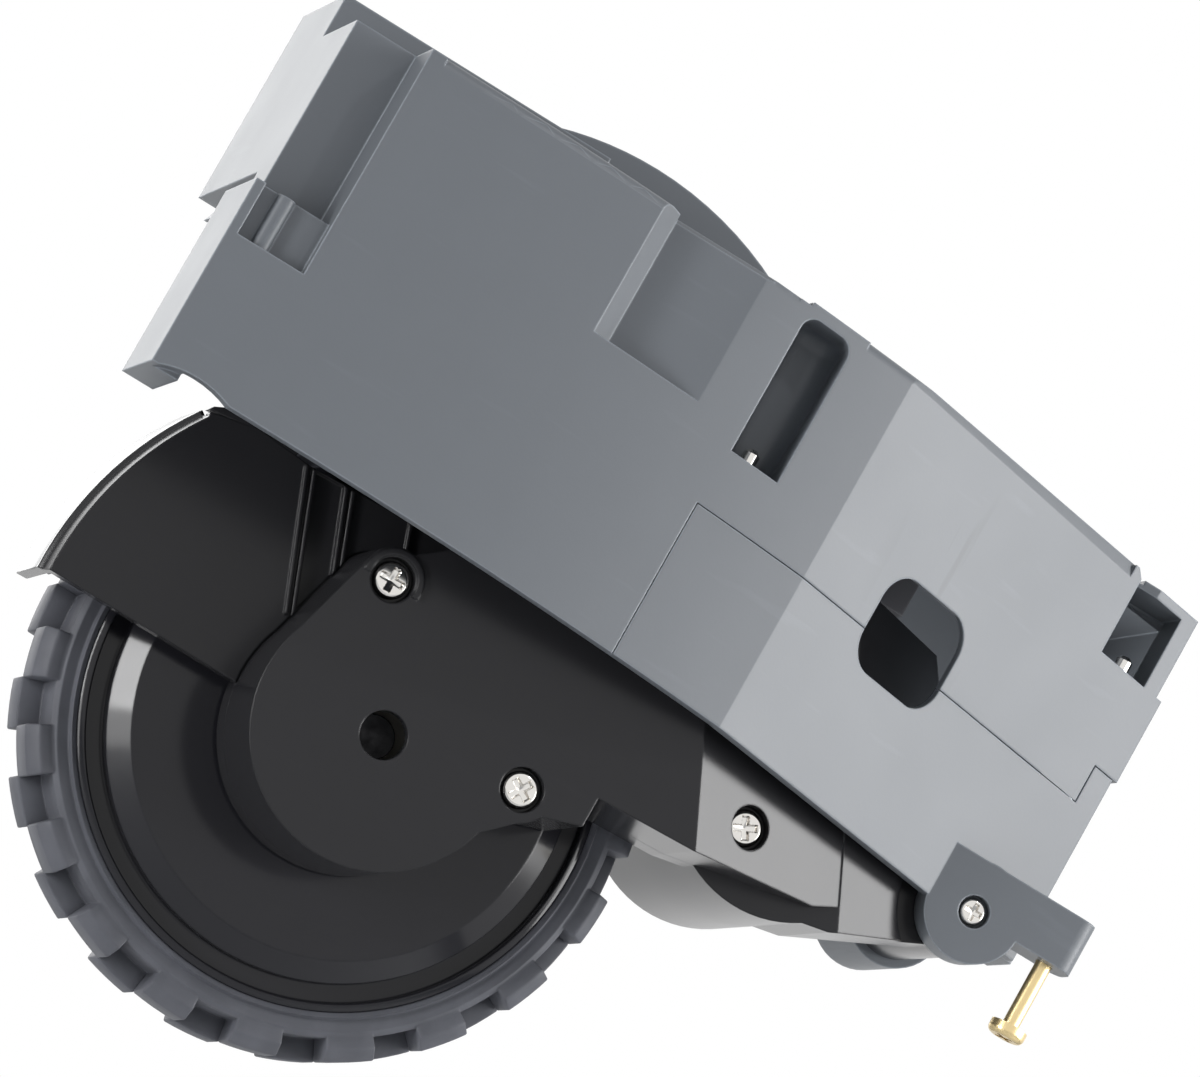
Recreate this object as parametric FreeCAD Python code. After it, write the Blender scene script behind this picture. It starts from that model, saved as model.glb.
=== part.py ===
"""Robot vacuum wheel module: a grey housing, a black drive arm that swings on a pivot, and a treaded wheel.

Millimetres. +X runs along the housing towards the pivot and the ear, +Y runs from the outer wall inwards,
+Z is up. Pieces are laid out about the wheel's axis, with the wheel hanging at its low stop, and are then
moved so that the origin is on the seat of the ear.
"""
import FreeCAD, Part
import math
import os

V = FreeCAD.Vector
UP = V(0, 0, 1)
INWARD = V(0, 1, 0)

# Outer wall, in plan
WALL_Y = -37.0
WALL = 2.0
BODY_RADIUS = 190.0
CURVE_START_X = -34.5
CREASE_X = 31.5
BENT_ANGLE = 32.0

# Housing envelope
LEFT_X = -43.7
FOOT_X = -45.7
FOOT_DEPTH = 16.0
RIGHT_X = 82.5
BOTTOM_Z = 19.4
TOP_Z = 65.1
CREST_ROUND = 1.2
CREST_BEVEL = (0.9, 1.9)
CREST_SLOPE = 0.35
BAY_Y = 10.0
WELL_Y = 20.0
MOTOR_BAY_X = 31.0
MOTOR_BAY_Y = 46.0
MOTOR_BAY_Z = 28.0
POCKET_TOP_Z = 70.6
POCKET_BOTTOM_Z = 46.3
POCKET_Y = -12.0
POCKET_RIGHT_X = -8.5
ROOF_RELIEF = 0.8
ROOF_WALL = 1.8
SKIN = 1.6

# Wheel and drive arm
WHEEL_RADIUS = 36.0
LUG_HEIGHT = 2.7
TYRE_WALL = 2.9
TREAD_BASE_RADIUS = WHEEL_RADIUS - LUG_HEIGHT
RIM_RADIUS = TREAD_BASE_RADIUS - TYRE_WALL
WHEEL_WIDTH = 14.5
LUGS_PER_ROW = 20
PIVOT_X = 72.7
PIVOT_Z = 20.4
LIFT_ANGLE = 25.5
COVER_FACE_Y = -20.0
COVER_WALL = 1.5
PARTING_Y = -7.0
ARM_CREASE_X = 34.8
LOBE_RADIUS = 15.2
LOBE_END_Y = -3.0
FENDER_CLEARANCE = 4.6
FENDER_RADIUS = WHEEL_RADIUS + FENDER_CLEARANCE
FENDER_FACE_RADIUS = FENDER_RADIUS - 0.9
FENDER_START = 145.0
FENDER_FACE_Y = -7.6
FENDER_BACK_Y = -3.8
FENDER_PLATE = 2.0
FENDER_LOW_Z = -1.6
ARCH_CLEARANCE = 4.9
ARCH_RADIUS = WHEEL_RADIUS + ARCH_CLEARANCE
ARCH_START_Y = -4.0

# Ribs on the fender's face: foot and top of each, x and z
RIB_WIDTH = 0.45
RIBS = [((-14.2, 7.8), (-20.5, 23.4)), ((-13.3, 7.6), (-19.5, 23.4)), ((-11.6, 14.0), (-15.4, 23.6)),
        ((-10.8, 14.0), (-14.5, 23.6)), ((-5.6, 20.0), (-7.0, 24.0))]
SUNK_PANEL = 0.5

# Gear case, along the wheel's axis
CASE_DEPTH_Y = -1.7
CASE_FLOOR = 1.5
GEAR_FLOOR_Y = -4.5
NEAR_WHEEL_RADIUS = RIM_RADIUS - 1.8

# Gear train: teeth, module and axes
PINION_TEETH = 14
FIRST_TEETH = 36
FIRST_PINION_TEETH = 12
SECOND_TEETH = 36
SECOND_PINION_TEETH = 12
THIRD_TEETH = 34
THIRD_PINION_TEETH = 13
OUTPUT_TEETH = 36
FINE_MODULE = 0.6
OUTPUT_MODULE = 0.7
GEAR_PIN_RADIUS = 1.0
PIN_CLEARANCE = 0.06
MOTOR_X = 47.0
MOTOR_Z = 20.0
THIRD_X = 9.0
SECOND_X = 21.9
MOTOR_LEVEL = (-6.0, -3.8)
REAR_LEVEL = (-6.8, -3.7)
BACK_LEVEL = (-8.2, -4.8)
MID_LEVEL = (-11.9, -8.6)
FRONT_LEVEL = (-15.6, -12.3)
BACKLASH = 0.12

# Motor
MOTOR_RADIUS = 12.2
MOTOR_SHELL = 0.8
MOTOR_FRONT_Y = -1.2
MOTOR_BACK_Y = 26.5
MOTOR_SLEEVE = 1.6
MOTOR_FIT = 0.2
MOTOR_CASE_BACK_Y = 31.0
SHAFT_RADIUS = 1.0

# Output shaft and hub
OUTPUT_RADIUS = 2.5
AXLE_HOLE_RADIUS = 2.75
BUSH_WALL = 1.6
RUN_CLEARANCE = 0.05
HUB_CONE_RADIUS = RIM_RADIUS - 3.2
HUB_FACE_RADIUS = HUB_CONE_RADIUS - 2.4
HUB_FACE_Y = -2.0
RIM_WALL = 1.6
HUB_BOSS_RADIUS = 6.0
HUB_BACK_Y = 12.0
SPOKES = 6
HUB_SCREW_RADIUS = 1.25
HUB_WASHER = 0.8
LUG_PHASE = 4.1
LUG_SHARE = 0.52

# Pivot
PIVOT_PIN_RADIUS = 1.6
BARREL_RADIUS = 5.0
NEAR_LUG_RADIUS = 6.0
FAR_LUG_RADIUS = 6.0
LUG_FACE_Y = -3.0
LUG_END_Y = 1.0
BARREL_END_Y = 28.0
FAR_LUG_END_Y = 43.0
END_PLAY = 0.3
SWING_ROOM_RADIUS = 8.8

# Suspension spring: pulls the hinge barrel's peg up, which holds the wheel down
SPRING_X = 78.4
SPRING_Y = 22.6
SPRING_RADIUS = 1.5
SPRING_WIRE = 0.45
SPRING_PITCH = 1.45
SPRING_TURNS = 10
SPRING_STEPS = 12
SPRING_START_Z = 27.2
SPRING_TOP_Z = 46.0
PEG_RADIUS = 0.9
PEG_ROOM = 0.1
PEG_END = 1.6

# Ear and captive screws
EAR_THICK = 6.4
EAR_LEFT_X = 72.0
EAR_RIGHT_X = 86.5
EAR_DEPTH = 6.0
EAR_SEAT_Z = 26.3
EAR_ROUND = 2.0
CAPTIVE_RADIUS = 1.0
CAPTIVE_CLEARANCE = 0.1
CAPTIVE_HEAD_RADIUS = 2.25
CAPTIVE_HEAD = 1.5
EAR_SCREW_X = 83.6
EAR_SCREW_DROP = 8.2
ORIGIN = V(78.5, 0.0, EAR_SEAT_Z)

# Features of the outer wall
SPLIT_Z = 38.7
SPLIT_X = 15.9
TAB_X = 78.7
TAB_Z = 43.5
SEAM = 0.12
SLOT_X = 16.3
SLOT_WIDTH = 6.7
SLOT_FLOOR_Z = 45.8
SLOT_TOP_Z = 63.6
SLOT_DEPTH = 7.0
SLOT_SCREW_DEPTH = 4.5
RECESS_X = -4.6
RECESS_CHAMFER = 2.5
RECESS_END_X = 10.0
RECESS_Z = 48.2
RECESS_TOP_DROP = 0.6
RECESS_TOP_BEVEL = 0.5
CHANNEL_X = -36.0
CHANNEL_Z = 42.6
CHANNEL_DEPTH = 8.0
FOOT_ARC_X = -44.9
FOOT_ARC_END_X = -35.8
FOOT_ARC_RISE = 0.9
STEP_Z = 36.2
STEP_DEPTH = 1.6
PORT_X = 48.3
PORT_Z = 40.8
PORT_WIDTH = 15.2
PORT_HEIGHT = 12.0
PORT_ROUND = 3.8
PORT_RIM = 0.7
PORT_RELIEF = 1.6
WINDOW_X = 71.7
WINDOW_WIDTH = 7.6
WINDOW_FLOOR_Z = 54.5
WINDOW_TOP_Z = 63.6
WINDOW_DEPTH = 11.0
WINDOW_FRAME_DROP = 0.4
WINDOW_CORNER = 1.0
WINDOW_FRAME_INSET = 0.9
WINDOW_SILL_BACK = 2.0
WINDOW_SCREW_DEPTH = 3.0
TONGUE_X = (25.5, 31.0)

# Retraction sensor: a forked sensor under the roof and a flag on the arm
FLAG_X = (46.0, 52.0)
FLAG_Y = (20.0, 21.2)
FLAG_TOP_Z = 54.5
SENSOR_GAP = 0.7
SENSOR_LEG = 2.4
SENSOR_DEPTH = 11.0
BOARD_Z = 60.0
BOARD_THICK = 1.6
BOARD_SIZE = (14.0, 15.0)
POST_RADIUS = 2.0
POST_INSET = 2.2

# Screws that hold the gear case's cover
SCREW_HEAD_RADIUS = 2.15
SCREW_HEAD = 1.5
SCREW_RECESS_RADIUS = 2.55
SCREW_RADIUS = 1.1
SCREW_LENGTH = 9.0
COUNTERSINK = 1.9

LONG = 300.0


def box(x0, x1, y0, y1, z0, z1):
    return Part.makeBox(x1 - x0, y1 - y0, z1 - z0, V(x0, y0, z0))


def rod_y(x, z, radius, y0, y1):
    return Part.makeCylinder(radius, y1 - y0, V(x, y0, z), INWARD)


def rod_z(x, y, radius, z0, z1):
    return Part.makeCylinder(radius, z1 - z0, V(x, y, z0), UP)


def prism_y(points, y0, y1):
    """A polygon given as (x, z) points, swept from y0 to y1."""
    corners = [V(x, y0, z) for x, z in points]
    face = Part.Face(Part.makePolygon(corners + corners[:1]))
    return face.extrude(V(0, y1 - y0, 0))


def prism_z(points, z0, z1):
    """A polygon given as (x, y) points, swept from z0 to z1."""
    corners = [V(x, y, z0) for x, y in points]
    face = Part.Face(Part.makePolygon(corners + corners[:1]))
    return face.extrude(V(0, 0, z1 - z0))


def fuse(shapes):
    shapes = list(shapes)
    return shapes[0].multiFuse(shapes[1:]).removeSplitter() if len(shapes) > 1 else shapes[0]


def turned(shape, angle, x=PIVOT_X, z=PIVOT_Z):
    """The shape turned about an axis along Y; a positive angle lifts what lies to the left."""
    copy = shape.copy()
    copy.rotate(V(x, 0, z), INWARD, angle)
    return copy


def revolved_y(profile, x=0.0, z=0.0):
    """A closed (radius, y) profile turned about the axis along Y through (x, z)."""
    corners = [V(x + r, y, z) for r, y in profile]
    face = Part.Face(Part.makePolygon(corners + corners[:1]))
    return face.revolve(V(x, 0, z), INWARD, 360)


def behind_wall(depth):
    """Everything further in than the outer wall's face moved inwards by depth."""
    radius = BODY_RADIUS - depth
    centre = V(CURVE_START_X, WALL_Y + BODY_RADIUS, 0)
    reach = math.radians(45)
    start = centre + V(0, -radius, 0)
    middle = centre + V(radius * math.sin(reach / 2), -radius * math.cos(reach / 2), 0)
    end = centre + V(radius * math.sin(reach), -radius * math.cos(reach), 0)
    far = V(-LONG, start.y, 0)
    corners = [end, V(LONG, end.y, 0), V(LONG, LONG, 0), V(-LONG, LONG, 0), far, start]
    edges = [Part.LineSegment(a, b).toShape() for a, b in zip(corners, corners[1:])]
    edges.append(Part.Arc(start, middle, end).toShape())
    curved = Part.Face(Part.Wire(Part.__sortEdges__(edges))).extrude(V(0, 0, 2 * LONG))
    curved.translate(V(0, 0, -LONG))
    bent = math.radians(BENT_ANGLE)
    along = V(math.cos(bent), math.sin(bent), 0)
    inward = V(-math.sin(bent), math.cos(bent), 0)
    base = V(CREASE_X, wall_y(CREASE_X), 0) + inward * depth
    corners = [base - along * LONG, base + along * LONG, base + along * LONG + inward * LONG]
    corners.append(base - along * LONG + inward * LONG)
    flat = prism_z([(c.x, c.y) for c in corners], -LONG, LONG)
    return curved.common(flat)


def wall_y(x):
    """The outer wall's face at x."""
    if x <= CURVE_START_X:
        return WALL_Y
    run = min(x, CREASE_X) - CURVE_START_X
    y = WALL_Y + BODY_RADIUS - math.sqrt(BODY_RADIUS ** 2 - run ** 2)
    return y + max(0.0, x - CREASE_X) * math.tan(math.radians(BENT_ANGLE))


def on_bent_wall(shape, x, z):
    """A shape drawn about the origin with its front face in the XZ plane, set on the bent wall at x, z."""
    copy = shape.copy()
    copy.rotate(V(0, 0, 0), UP, BENT_ANGLE)
    copy.translate(V(x, wall_y(x), z))
    return copy


def rounded_block(width, height, y0, y1, radius):
    """A block along Y, centred on the axis, with four rounded long edges."""
    block = box(-width / 2, width / 2, y0, y1, -height / 2, height / 2)
    edges = [e for e in block.Edges if abs(e.tangentAt(e.FirstParameter).y) > 0.9]
    return block.makeFillet(radius, edges)


def gear_profile(teeth, module, phase, side_points):
    """Tooth outline as (x, z) points: straight root, involute-like flanks, flat tip."""
    pitch = teeth * module / 2
    base = pitch * math.cos(math.radians(20))
    root = pitch - 1.15 * module
    tip = pitch + 0.9 * module
    half = math.pi / (2 * teeth) - BACKLASH / (2 * pitch)
    at_pitch = math.tan(math.radians(20)) - math.radians(20)
    points = []
    for tooth in range(teeth):
        middle = phase + 2 * math.pi * tooth / teeth
        flank = []
        for step in range(side_points):
            radius = max(root, base) + (tip - max(root, base)) * step / (side_points - 1)
            pressure = math.acos(min(1.0, base / radius))
            flank.append((radius, half + at_pitch - (math.tan(pressure) - pressure)))
        flank.insert(0, (root, flank[0][1] + 0.02 / pitch))
        for radius, angle in flank:
            points.append((radius * math.cos(middle - angle), radius * math.sin(middle - angle)))
        for radius, angle in reversed(flank):
            points.append((radius * math.cos(middle + angle), radius * math.sin(middle + angle)))
    return points


def gear(teeth, module, level, phase, x, z, side_points=2):
    points = [(x + px, z + pz) for px, pz in gear_profile(teeth, module, phase, side_points)]
    return prism_y(points, level[0], level[1])


def centre_distance(teeth_a, teeth_b, module):
    return (teeth_a + teeth_b) * module / 2


def direction(a, b):
    return math.atan2(b[1] - a[1], b[0] - a[0])


def gap_phase(teeth, angle):
    """Phase that puts a gap, not a tooth, at the given direction."""
    return angle + math.pi / teeth


def gear_axes():
    """Axes of the output gear, the three idle gears and the motor, each pair at its centre distance."""
    output = (0.0, 0.0)
    reach = centre_distance(OUTPUT_TEETH, THIRD_PINION_TEETH, OUTPUT_MODULE)
    third = (THIRD_X, math.sqrt(reach ** 2 - THIRD_X ** 2))
    reach = centre_distance(THIRD_TEETH, SECOND_PINION_TEETH, FINE_MODULE)
    run = SECOND_X - third[0]
    second = (SECOND_X, third[1] + math.sqrt(reach ** 2 - run ** 2))
    motor = (MOTOR_X, MOTOR_Z)
    span = math.dist(second, motor)
    left = centre_distance(SECOND_TEETH, FIRST_PINION_TEETH, FINE_MODULE)
    right = centre_distance(FIRST_TEETH, PINION_TEETH, FINE_MODULE)
    along = (left ** 2 - right ** 2 + span ** 2) / (2 * span)
    rise = math.sqrt(left ** 2 - along ** 2)
    ux, uz = (motor[0] - second[0]) / span, (motor[1] - second[1]) / span
    first = (second[0] + along * ux - rise * uz, second[1] + along * uz + rise * ux)
    return output, third, second, first, motor


OUTPUT_AXIS, THIRD_AXIS, SECOND_AXIS, FIRST_AXIS, MOTOR_AXIS = gear_axes()

# Gear pins: axis, front end and back end
PIN_PLACES = [(THIRD_AXIS, -19.2, -3.6), (SECOND_AXIS, -19.2, -3.6), (FIRST_AXIS, -15.4, -2.3)]

# Cover screws: x, z and the cover face that the head sits under
COVER_SCREWS = [(-7.7, 15.4, COVER_FACE_Y), (16.6, 2.8, COVER_FACE_Y), (42.3, 13.2, -13.9)]


def arm_outline(inset=0.0):
    """The gear case seen from outside, as one prism of unit height at y = 0."""
    lobe = rod_y(0, 0, LOBE_RADIUS - inset, 0, 1)
    screw_one, screw_two = COVER_SCREWS[0], COVER_SCREWS[1]
    pad = 3.7 - inset
    body = [(-14.1 + inset, 5.6), (screw_one[0] - 3.5 + inset, screw_one[1] + 1.0), (-7.0, 19.0 - inset),
            (4.0, 28.0 - inset), (20.0, 33.4 - inset), (30.0, 40.4 - inset), (40.0, 40.0 - inset),
            (60.0 - inset, 31.0 - inset), (66.0 - inset, 25.0), (64.0 - inset, 15.6 + inset),
            (54.3, 10.2 + inset), (37.0, 6.9 + inset), (24.6 - inset, 6.4 + inset),
            (24.6 - inset, 2.8 + inset), (20.0, 1.3 + inset), (15.0, -3.6 + inset), (0, -8.0)]
    pieces = [lobe, prism_y(body, 0, 1), rod_y(screw_one[0], screw_one[1], pad, 0, 1),
              rod_y(screw_two[0], screw_two[1], pad, 0, 1)]
    return fuse(pieces)


def swept_outline(inset, y0, y1):
    outline = arm_outline(inset)
    faces = [f for f in outline.Faces if abs(f.CenterOfMass.y) < 1e-6]
    solids = [f.extrude(V(0, y1 - y0, 0)) for f in faces]
    body = fuse(solids)
    body.translate(V(0, y0, 0))
    return body


def arm_front(depth):
    """What lies in front of the bent face of the arm, moved inwards by depth; drawn with the arm lifted."""
    bent = math.radians(BENT_ANGLE)
    run = (LONG - ARM_CREASE_X)
    y = COVER_FACE_Y + depth / math.cos(bent)
    points = [(ARM_CREASE_X - LONG, y - LONG * math.tan(bent)), (ARM_CREASE_X + run, y + run * math.tan(bent)),
              (ARM_CREASE_X + run, -LONG), (ARM_CREASE_X - LONG, -LONG)]
    return turned(prism_z(points, -LONG, LONG), -LIFT_ANGLE)


def gearbox_cover():
    shell = swept_outline(0, COVER_FACE_Y, PARTING_Y).cut(arm_front(0))
    room = swept_outline(COVER_WALL, COVER_FACE_Y + COVER_WALL, PARTING_Y).cut(arm_front(COVER_WALL))
    cover = shell.cut(room)
    for x, z, face in COVER_SCREWS:
        post = rod_y(x, z, SCREW_RECESS_RADIUS + 0.6, face + 0.4, PARTING_Y)
        cover = cover.fuse(post.common(shell))
        cover = cover.cut(rod_y(x, z, SCREW_RECESS_RADIUS, face - 9, face + COUNTERSINK))
        cover = cover.cut(rod_y(x, z, SCREW_RADIUS + 0.1, face, PARTING_Y + 1))
    x, z, face = COVER_SCREWS[0]
    ring = rod_y(x, z, 3.5, face - 0.45, face + 0.2).cut(rod_y(x, z, 2.75, face - 1, face + 1))
    ring = ring.cut(box(x - 9, x + 9, face - 1, face + 1, z - 9, z - 0.6))
    cover = cover.fuse(ring)
    fronts = (FRONT_LEVEL[0], FRONT_LEVEL[0], MID_LEVEL[0])
    for (axis, front, _), hub_front in zip(PIN_PLACES, fronts):
        socket = rod_y(axis[0], axis[1], GEAR_PIN_RADIUS + 0.9, front - 1, hub_front - 0.3)
        cover = cover.fuse(socket.common(shell))
        cover = cover.cut(rod_y(axis[0], axis[1], GEAR_PIN_RADIUS, front, PARTING_Y))
    cover = cover.cut(rod_y(0, 0, AXLE_HOLE_RADIUS, COVER_FACE_Y - 1, COVER_FACE_Y + COVER_WALL + 1))
    return cover.removeSplitter()


def rib_between(foot, top, y0, y1, width):
    run, rise = top[0] - foot[0], top[1] - foot[1]
    size = math.hypot(run, rise)
    dx, dz = rise / size * width / 2, -run / size * width / 2
    return prism_y([(foot[0] - dx, foot[1] - dz), (foot[0] + dx, foot[1] + dz),
                    (top[0] + dx, top[1] + dz), (top[0] - dx, top[1] - dz)], y0, y1)


def fender():
    """The guard beside the wheel, with its turned edge and the ribs on its face."""
    lip = FENDER_RADIUS - 1.6
    profile = [(0, FENDER_FACE_Y), (FENDER_FACE_RADIUS, FENDER_FACE_Y), (FENDER_FACE_RADIUS + 0.4, -4.9),
               (FENDER_RADIUS, -4.5), (FENDER_RADIUS, FENDER_BACK_Y), (lip, FENDER_BACK_Y),
               (lip, FENDER_FACE_Y + FENDER_PLATE), (0, FENDER_FACE_Y + FENDER_PLATE)]
    start = math.radians(FENDER_START)
    reach = [(0, FENDER_LOW_Z), (60 * math.cos(start), 60 * math.sin(start)), (-60, 60), (-60, FENDER_LOW_Z)]
    guard = revolved_y(profile).common(prism_y(reach, -20, 5))
    gusset = prism_y([(-32.9, 23.0), (-27, 24.2), (-20, 23.6), (-10, 24), (5, 28), (12, 20), (0, 0), (-30, 8)],
                     FENDER_FACE_Y, FENDER_FACE_Y + FENDER_PLATE)
    sunk = prism_y([RIBS[1][0], RIBS[1][1], RIBS[2][1], RIBS[2][0]], FENDER_FACE_Y - 1, FENDER_FACE_Y + SUNK_PANEL)
    ribs = [rib_between(foot, top, FENDER_FACE_Y - 0.6, FENDER_FACE_Y + 0.7, RIB_WIDTH) for foot, top in RIBS]
    outline = swept_outline(-0.15, FENDER_FACE_Y - 5, PARTING_Y)
    return fuse([fuse([guard, gusset]).cut(sunk)] + ribs).cut(outline)


def case_body(inset, near_y, far_y):
    """The back half's outline: shallow beside the hub and deeper further from the wheel's axis."""
    near = swept_outline(inset, PARTING_Y, near_y)
    clear = NEAR_WHEEL_RADIUS + (1.6 if inset else 0.0)
    far = swept_outline(inset, near_y - 0.5, far_y).cut(rod_y(0, 0, clear, -LONG, LONG))
    return fuse([near, far])


def gearbox_case():
    """Back half of the gear case in one moulding with the fender, the motor barrel and the hinge barrel."""
    body = case_body(0.0, LOBE_END_Y, CASE_DEPTH_Y)
    barrel = rod_y(MOTOR_X, MOTOR_Z, MOTOR_RADIUS + MOTOR_FIT + MOTOR_SLEEVE, PARTING_Y, MOTOR_CASE_BACK_Y)
    hinge = rod_y(PIVOT_X, PIVOT_Z, BARREL_RADIUS, LUG_END_Y + END_PLAY, BARREL_END_Y)
    web = [(MOTOR_X - 2, 6.4), (58.0, 9.0), (PIVOT_X - 1, PIVOT_Z - 4.9), (PIVOT_X - 3.5, PIVOT_Z + 3.5),
           (61.0, 36.0), (55.0, 44.0), (43.0, 45.0), (38.0, 38.0)]
    web = prism_y(web, PARTING_Y, 14.0)
    swing_room = rod_y(PIVOT_X, PIVOT_Z, SWING_ROOM_RADIUS, -LONG, LUG_END_Y + END_PLAY)
    peg = spring_peg(PIVOT_X + BARREL_RADIUS - 1.0, SPRING_X + PEG_END, PIVOT_Z)
    case = fuse([body, barrel, web, fender()]).cut(swing_room).cut(arm_front(0)).fuse([hinge, peg, sensor_flag()])
    room = case_body(COVER_WALL, GEAR_FLOOR_Y, CASE_DEPTH_Y - CASE_FLOOR)
    room = room.cut(box(MOTOR_X + 6.5, LONG, -LONG, LONG, -LONG, LONG))
    room = room.cut(arm_front(COVER_WALL))
    for x, z, _ in COVER_SCREWS:
        room = room.cut(rod_y(x, z, SCREW_RADIUS + 1.4, PARTING_Y - 1, LOBE_END_Y))
    case = case.cut(room)
    case = case.cut(rod_y(MOTOR_X, MOTOR_Z, MOTOR_RADIUS + MOTOR_FIT, MOTOR_FRONT_Y, MOTOR_CASE_BACK_Y + 1))
    case = case.cut(rod_y(MOTOR_X, MOTOR_Z, 4.1, PARTING_Y - 1, MOTOR_FRONT_Y + 1))
    case = case.cut(rod_y(PIVOT_X, PIVOT_Z, PIVOT_PIN_RADIUS + 1.4, LUG_END_Y, BARREL_END_Y + 1))
    for x, z, _ in COVER_SCREWS:
        case = case.cut(rod_y(x, z, SCREW_RADIUS, PARTING_Y - 1, PARTING_Y + 2.4))
    for axis, _, back in PIN_PLACES:
        case = case.cut(rod_y(axis[0], axis[1], GEAR_PIN_RADIUS, PARTING_Y - 1, back))
    case = case.cut(rod_y(0, 0, OUTPUT_RADIUS + RUN_CLEARANCE + BUSH_WALL, PARTING_Y - 1, LOBE_END_Y + 1))
    return case.removeSplitter()


def sensor_flag():
    return turned(box(*FLAG_X, *FLAG_Y, 40.0, FLAG_TOP_Z), -LIFT_ANGLE)


def retract_sensor():
    x0, x1 = FLAG_X[0] - 1.0, FLAG_X[1] + 1.0
    y0, y1 = FLAG_Y[0] - SENSOR_GAP, FLAG_Y[1] + SENSOR_GAP
    foot_z = BOARD_Z - SENSOR_DEPTH
    body = box(x0, x1, y0 - SENSOR_LEG, y1 + SENSOR_LEG, foot_z, BOARD_Z)
    return body.cut(box(x0 - 1, x1 + 1, y0, y1, foot_z - 1, FLAG_TOP_Z + 1.5))


def board_corners():
    """Two opposite corners of the sensor board, centred over the flag."""
    x, y = sum(FLAG_X) / 2, sum(FLAG_Y) / 2
    half_x, half_y = BOARD_SIZE[0] / 2, BOARD_SIZE[1] / 2
    return (x - half_x, y - half_y), (x + half_x, y + half_y)


def sensor_board():
    low, high = board_corners()
    return box(low[0], high[0], low[1], high[1], BOARD_Z, BOARD_Z + BOARD_THICK)


def sensor_posts():
    low, high = board_corners()
    places = ((low[0] + POST_INSET, low[1] + POST_INSET), (high[0] - POST_INSET, high[1] - POST_INSET))
    return [rod_z(x, y, POST_RADIUS, BOARD_Z + BOARD_THICK, TOP_Z - 1.0) for x, y in places]


def motor_can():
    can = rod_y(MOTOR_X, MOTOR_Z, MOTOR_RADIUS, MOTOR_FRONT_Y, MOTOR_BACK_Y)
    room = rod_y(MOTOR_X, MOTOR_Z, MOTOR_RADIUS - MOTOR_SHELL, MOTOR_FRONT_Y + 1, MOTOR_BACK_Y + 1)
    nose = rod_y(MOTOR_X, MOTOR_Z, 4.0, MOTOR_FRONT_Y - 1.6, MOTOR_FRONT_Y + 1)
    bore = rod_y(MOTOR_X, MOTOR_Z, SHAFT_RADIUS + PIN_CLEARANCE, PARTING_Y - 5, MOTOR_BACK_Y)
    return fuse([can.cut(room), nose]).cut(bore)


def motor_magnets():
    ring = rod_y(MOTOR_X, MOTOR_Z, MOTOR_RADIUS - MOTOR_SHELL, MOTOR_FRONT_Y + 3, MOTOR_BACK_Y - 4)
    ring = ring.cut(rod_y(MOTOR_X, MOTOR_Z, 9.4, MOTOR_FRONT_Y, MOTOR_BACK_Y))
    return ring.cut(box(MOTOR_X - 3, MOTOR_X + 3, -LONG, LONG, MOTOR_Z - 20, MOTOR_Z + 20))


def motor_endbell():
    bell = rod_y(MOTOR_X, MOTOR_Z, MOTOR_RADIUS - MOTOR_SHELL, MOTOR_BACK_Y - 1.8, MOTOR_BACK_Y)
    hump = rod_y(MOTOR_X, MOTOR_Z, 4.0, MOTOR_BACK_Y - 1, MOTOR_BACK_Y + 1.2)
    return fuse([bell, hump]).cut(rod_y(MOTOR_X, MOTOR_Z, SHAFT_RADIUS + PIN_CLEARANCE, 0, MOTOR_BACK_Y + 0.6))


def rotor_core():
    core = rod_y(MOTOR_X, MOTOR_Z, 9.0, MOTOR_FRONT_Y + 5, MOTOR_BACK_Y - 7)
    for i in range(5):
        slot = box(MOTOR_X - 0.6, MOTOR_X + 0.6, -LONG, LONG, MOTOR_Z + 4.0, MOTOR_Z + 12)
        core = core.cut(turned(slot, 72 * i, MOTOR_X, MOTOR_Z))
    return core.cut(rod_y(MOTOR_X, MOTOR_Z, SHAFT_RADIUS, -LONG, LONG))


def motor_shaft():
    return rod_y(MOTOR_X, MOTOR_Z, SHAFT_RADIUS, MOTOR_LEVEL[0], MOTOR_BACK_Y + 0.4)


def motor_pinion():
    toward = direction(MOTOR_AXIS, FIRST_AXIS)
    pinion = gear(PINION_TEETH, FINE_MODULE, MOTOR_LEVEL, gap_phase(PINION_TEETH, toward), *MOTOR_AXIS, 3)
    return pinion.cut(rod_y(MOTOR_X, MOTOR_Z, SHAFT_RADIUS, -LONG, LONG))


def motor_rear_cover():
    disc = rod_y(MOTOR_X, MOTOR_Z, MOTOR_RADIUS + MOTOR_FIT, MOTOR_CASE_BACK_Y - 1.6, MOTOR_CASE_BACK_Y)
    vents = [box(MOTOR_X - 5, MOTOR_X + 5, 0, LONG, z - 0.5, z + 0.5) for z in (MOTOR_Z - 5, MOTOR_Z - 2.5)]
    for vent in vents:
        disc = disc.cut(vent)
    return disc


def encoder_board():
    disc = rod_y(MOTOR_X, MOTOR_Z, 11.2, MOTOR_BACK_Y + 1.4, MOTOR_BACK_Y + 2.4)
    return disc.cut(box(MOTOR_X - 14, MOTOR_X + 14, 0, LONG, MOTOR_Z + 6, MOTOR_Z + 20))


def compound_gear(axis, big, big_level, big_phase, small, small_level, small_phase, small_module):
    lower, upper = sorted([big_level, small_level])
    wheel = gear(big, FINE_MODULE, big_level, big_phase, *axis)
    pinion = gear(small, small_module, small_level, small_phase, *axis, 3)
    hub = rod_y(axis[0], axis[1], GEAR_PIN_RADIUS + 0.8, lower[0] - 0.2, upper[1] + 0.1)
    bore = rod_y(axis[0], axis[1], GEAR_PIN_RADIUS + PIN_CLEARANCE, -LONG, LONG)
    return fuse([wheel, pinion, hub]).cut(bore)


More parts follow.
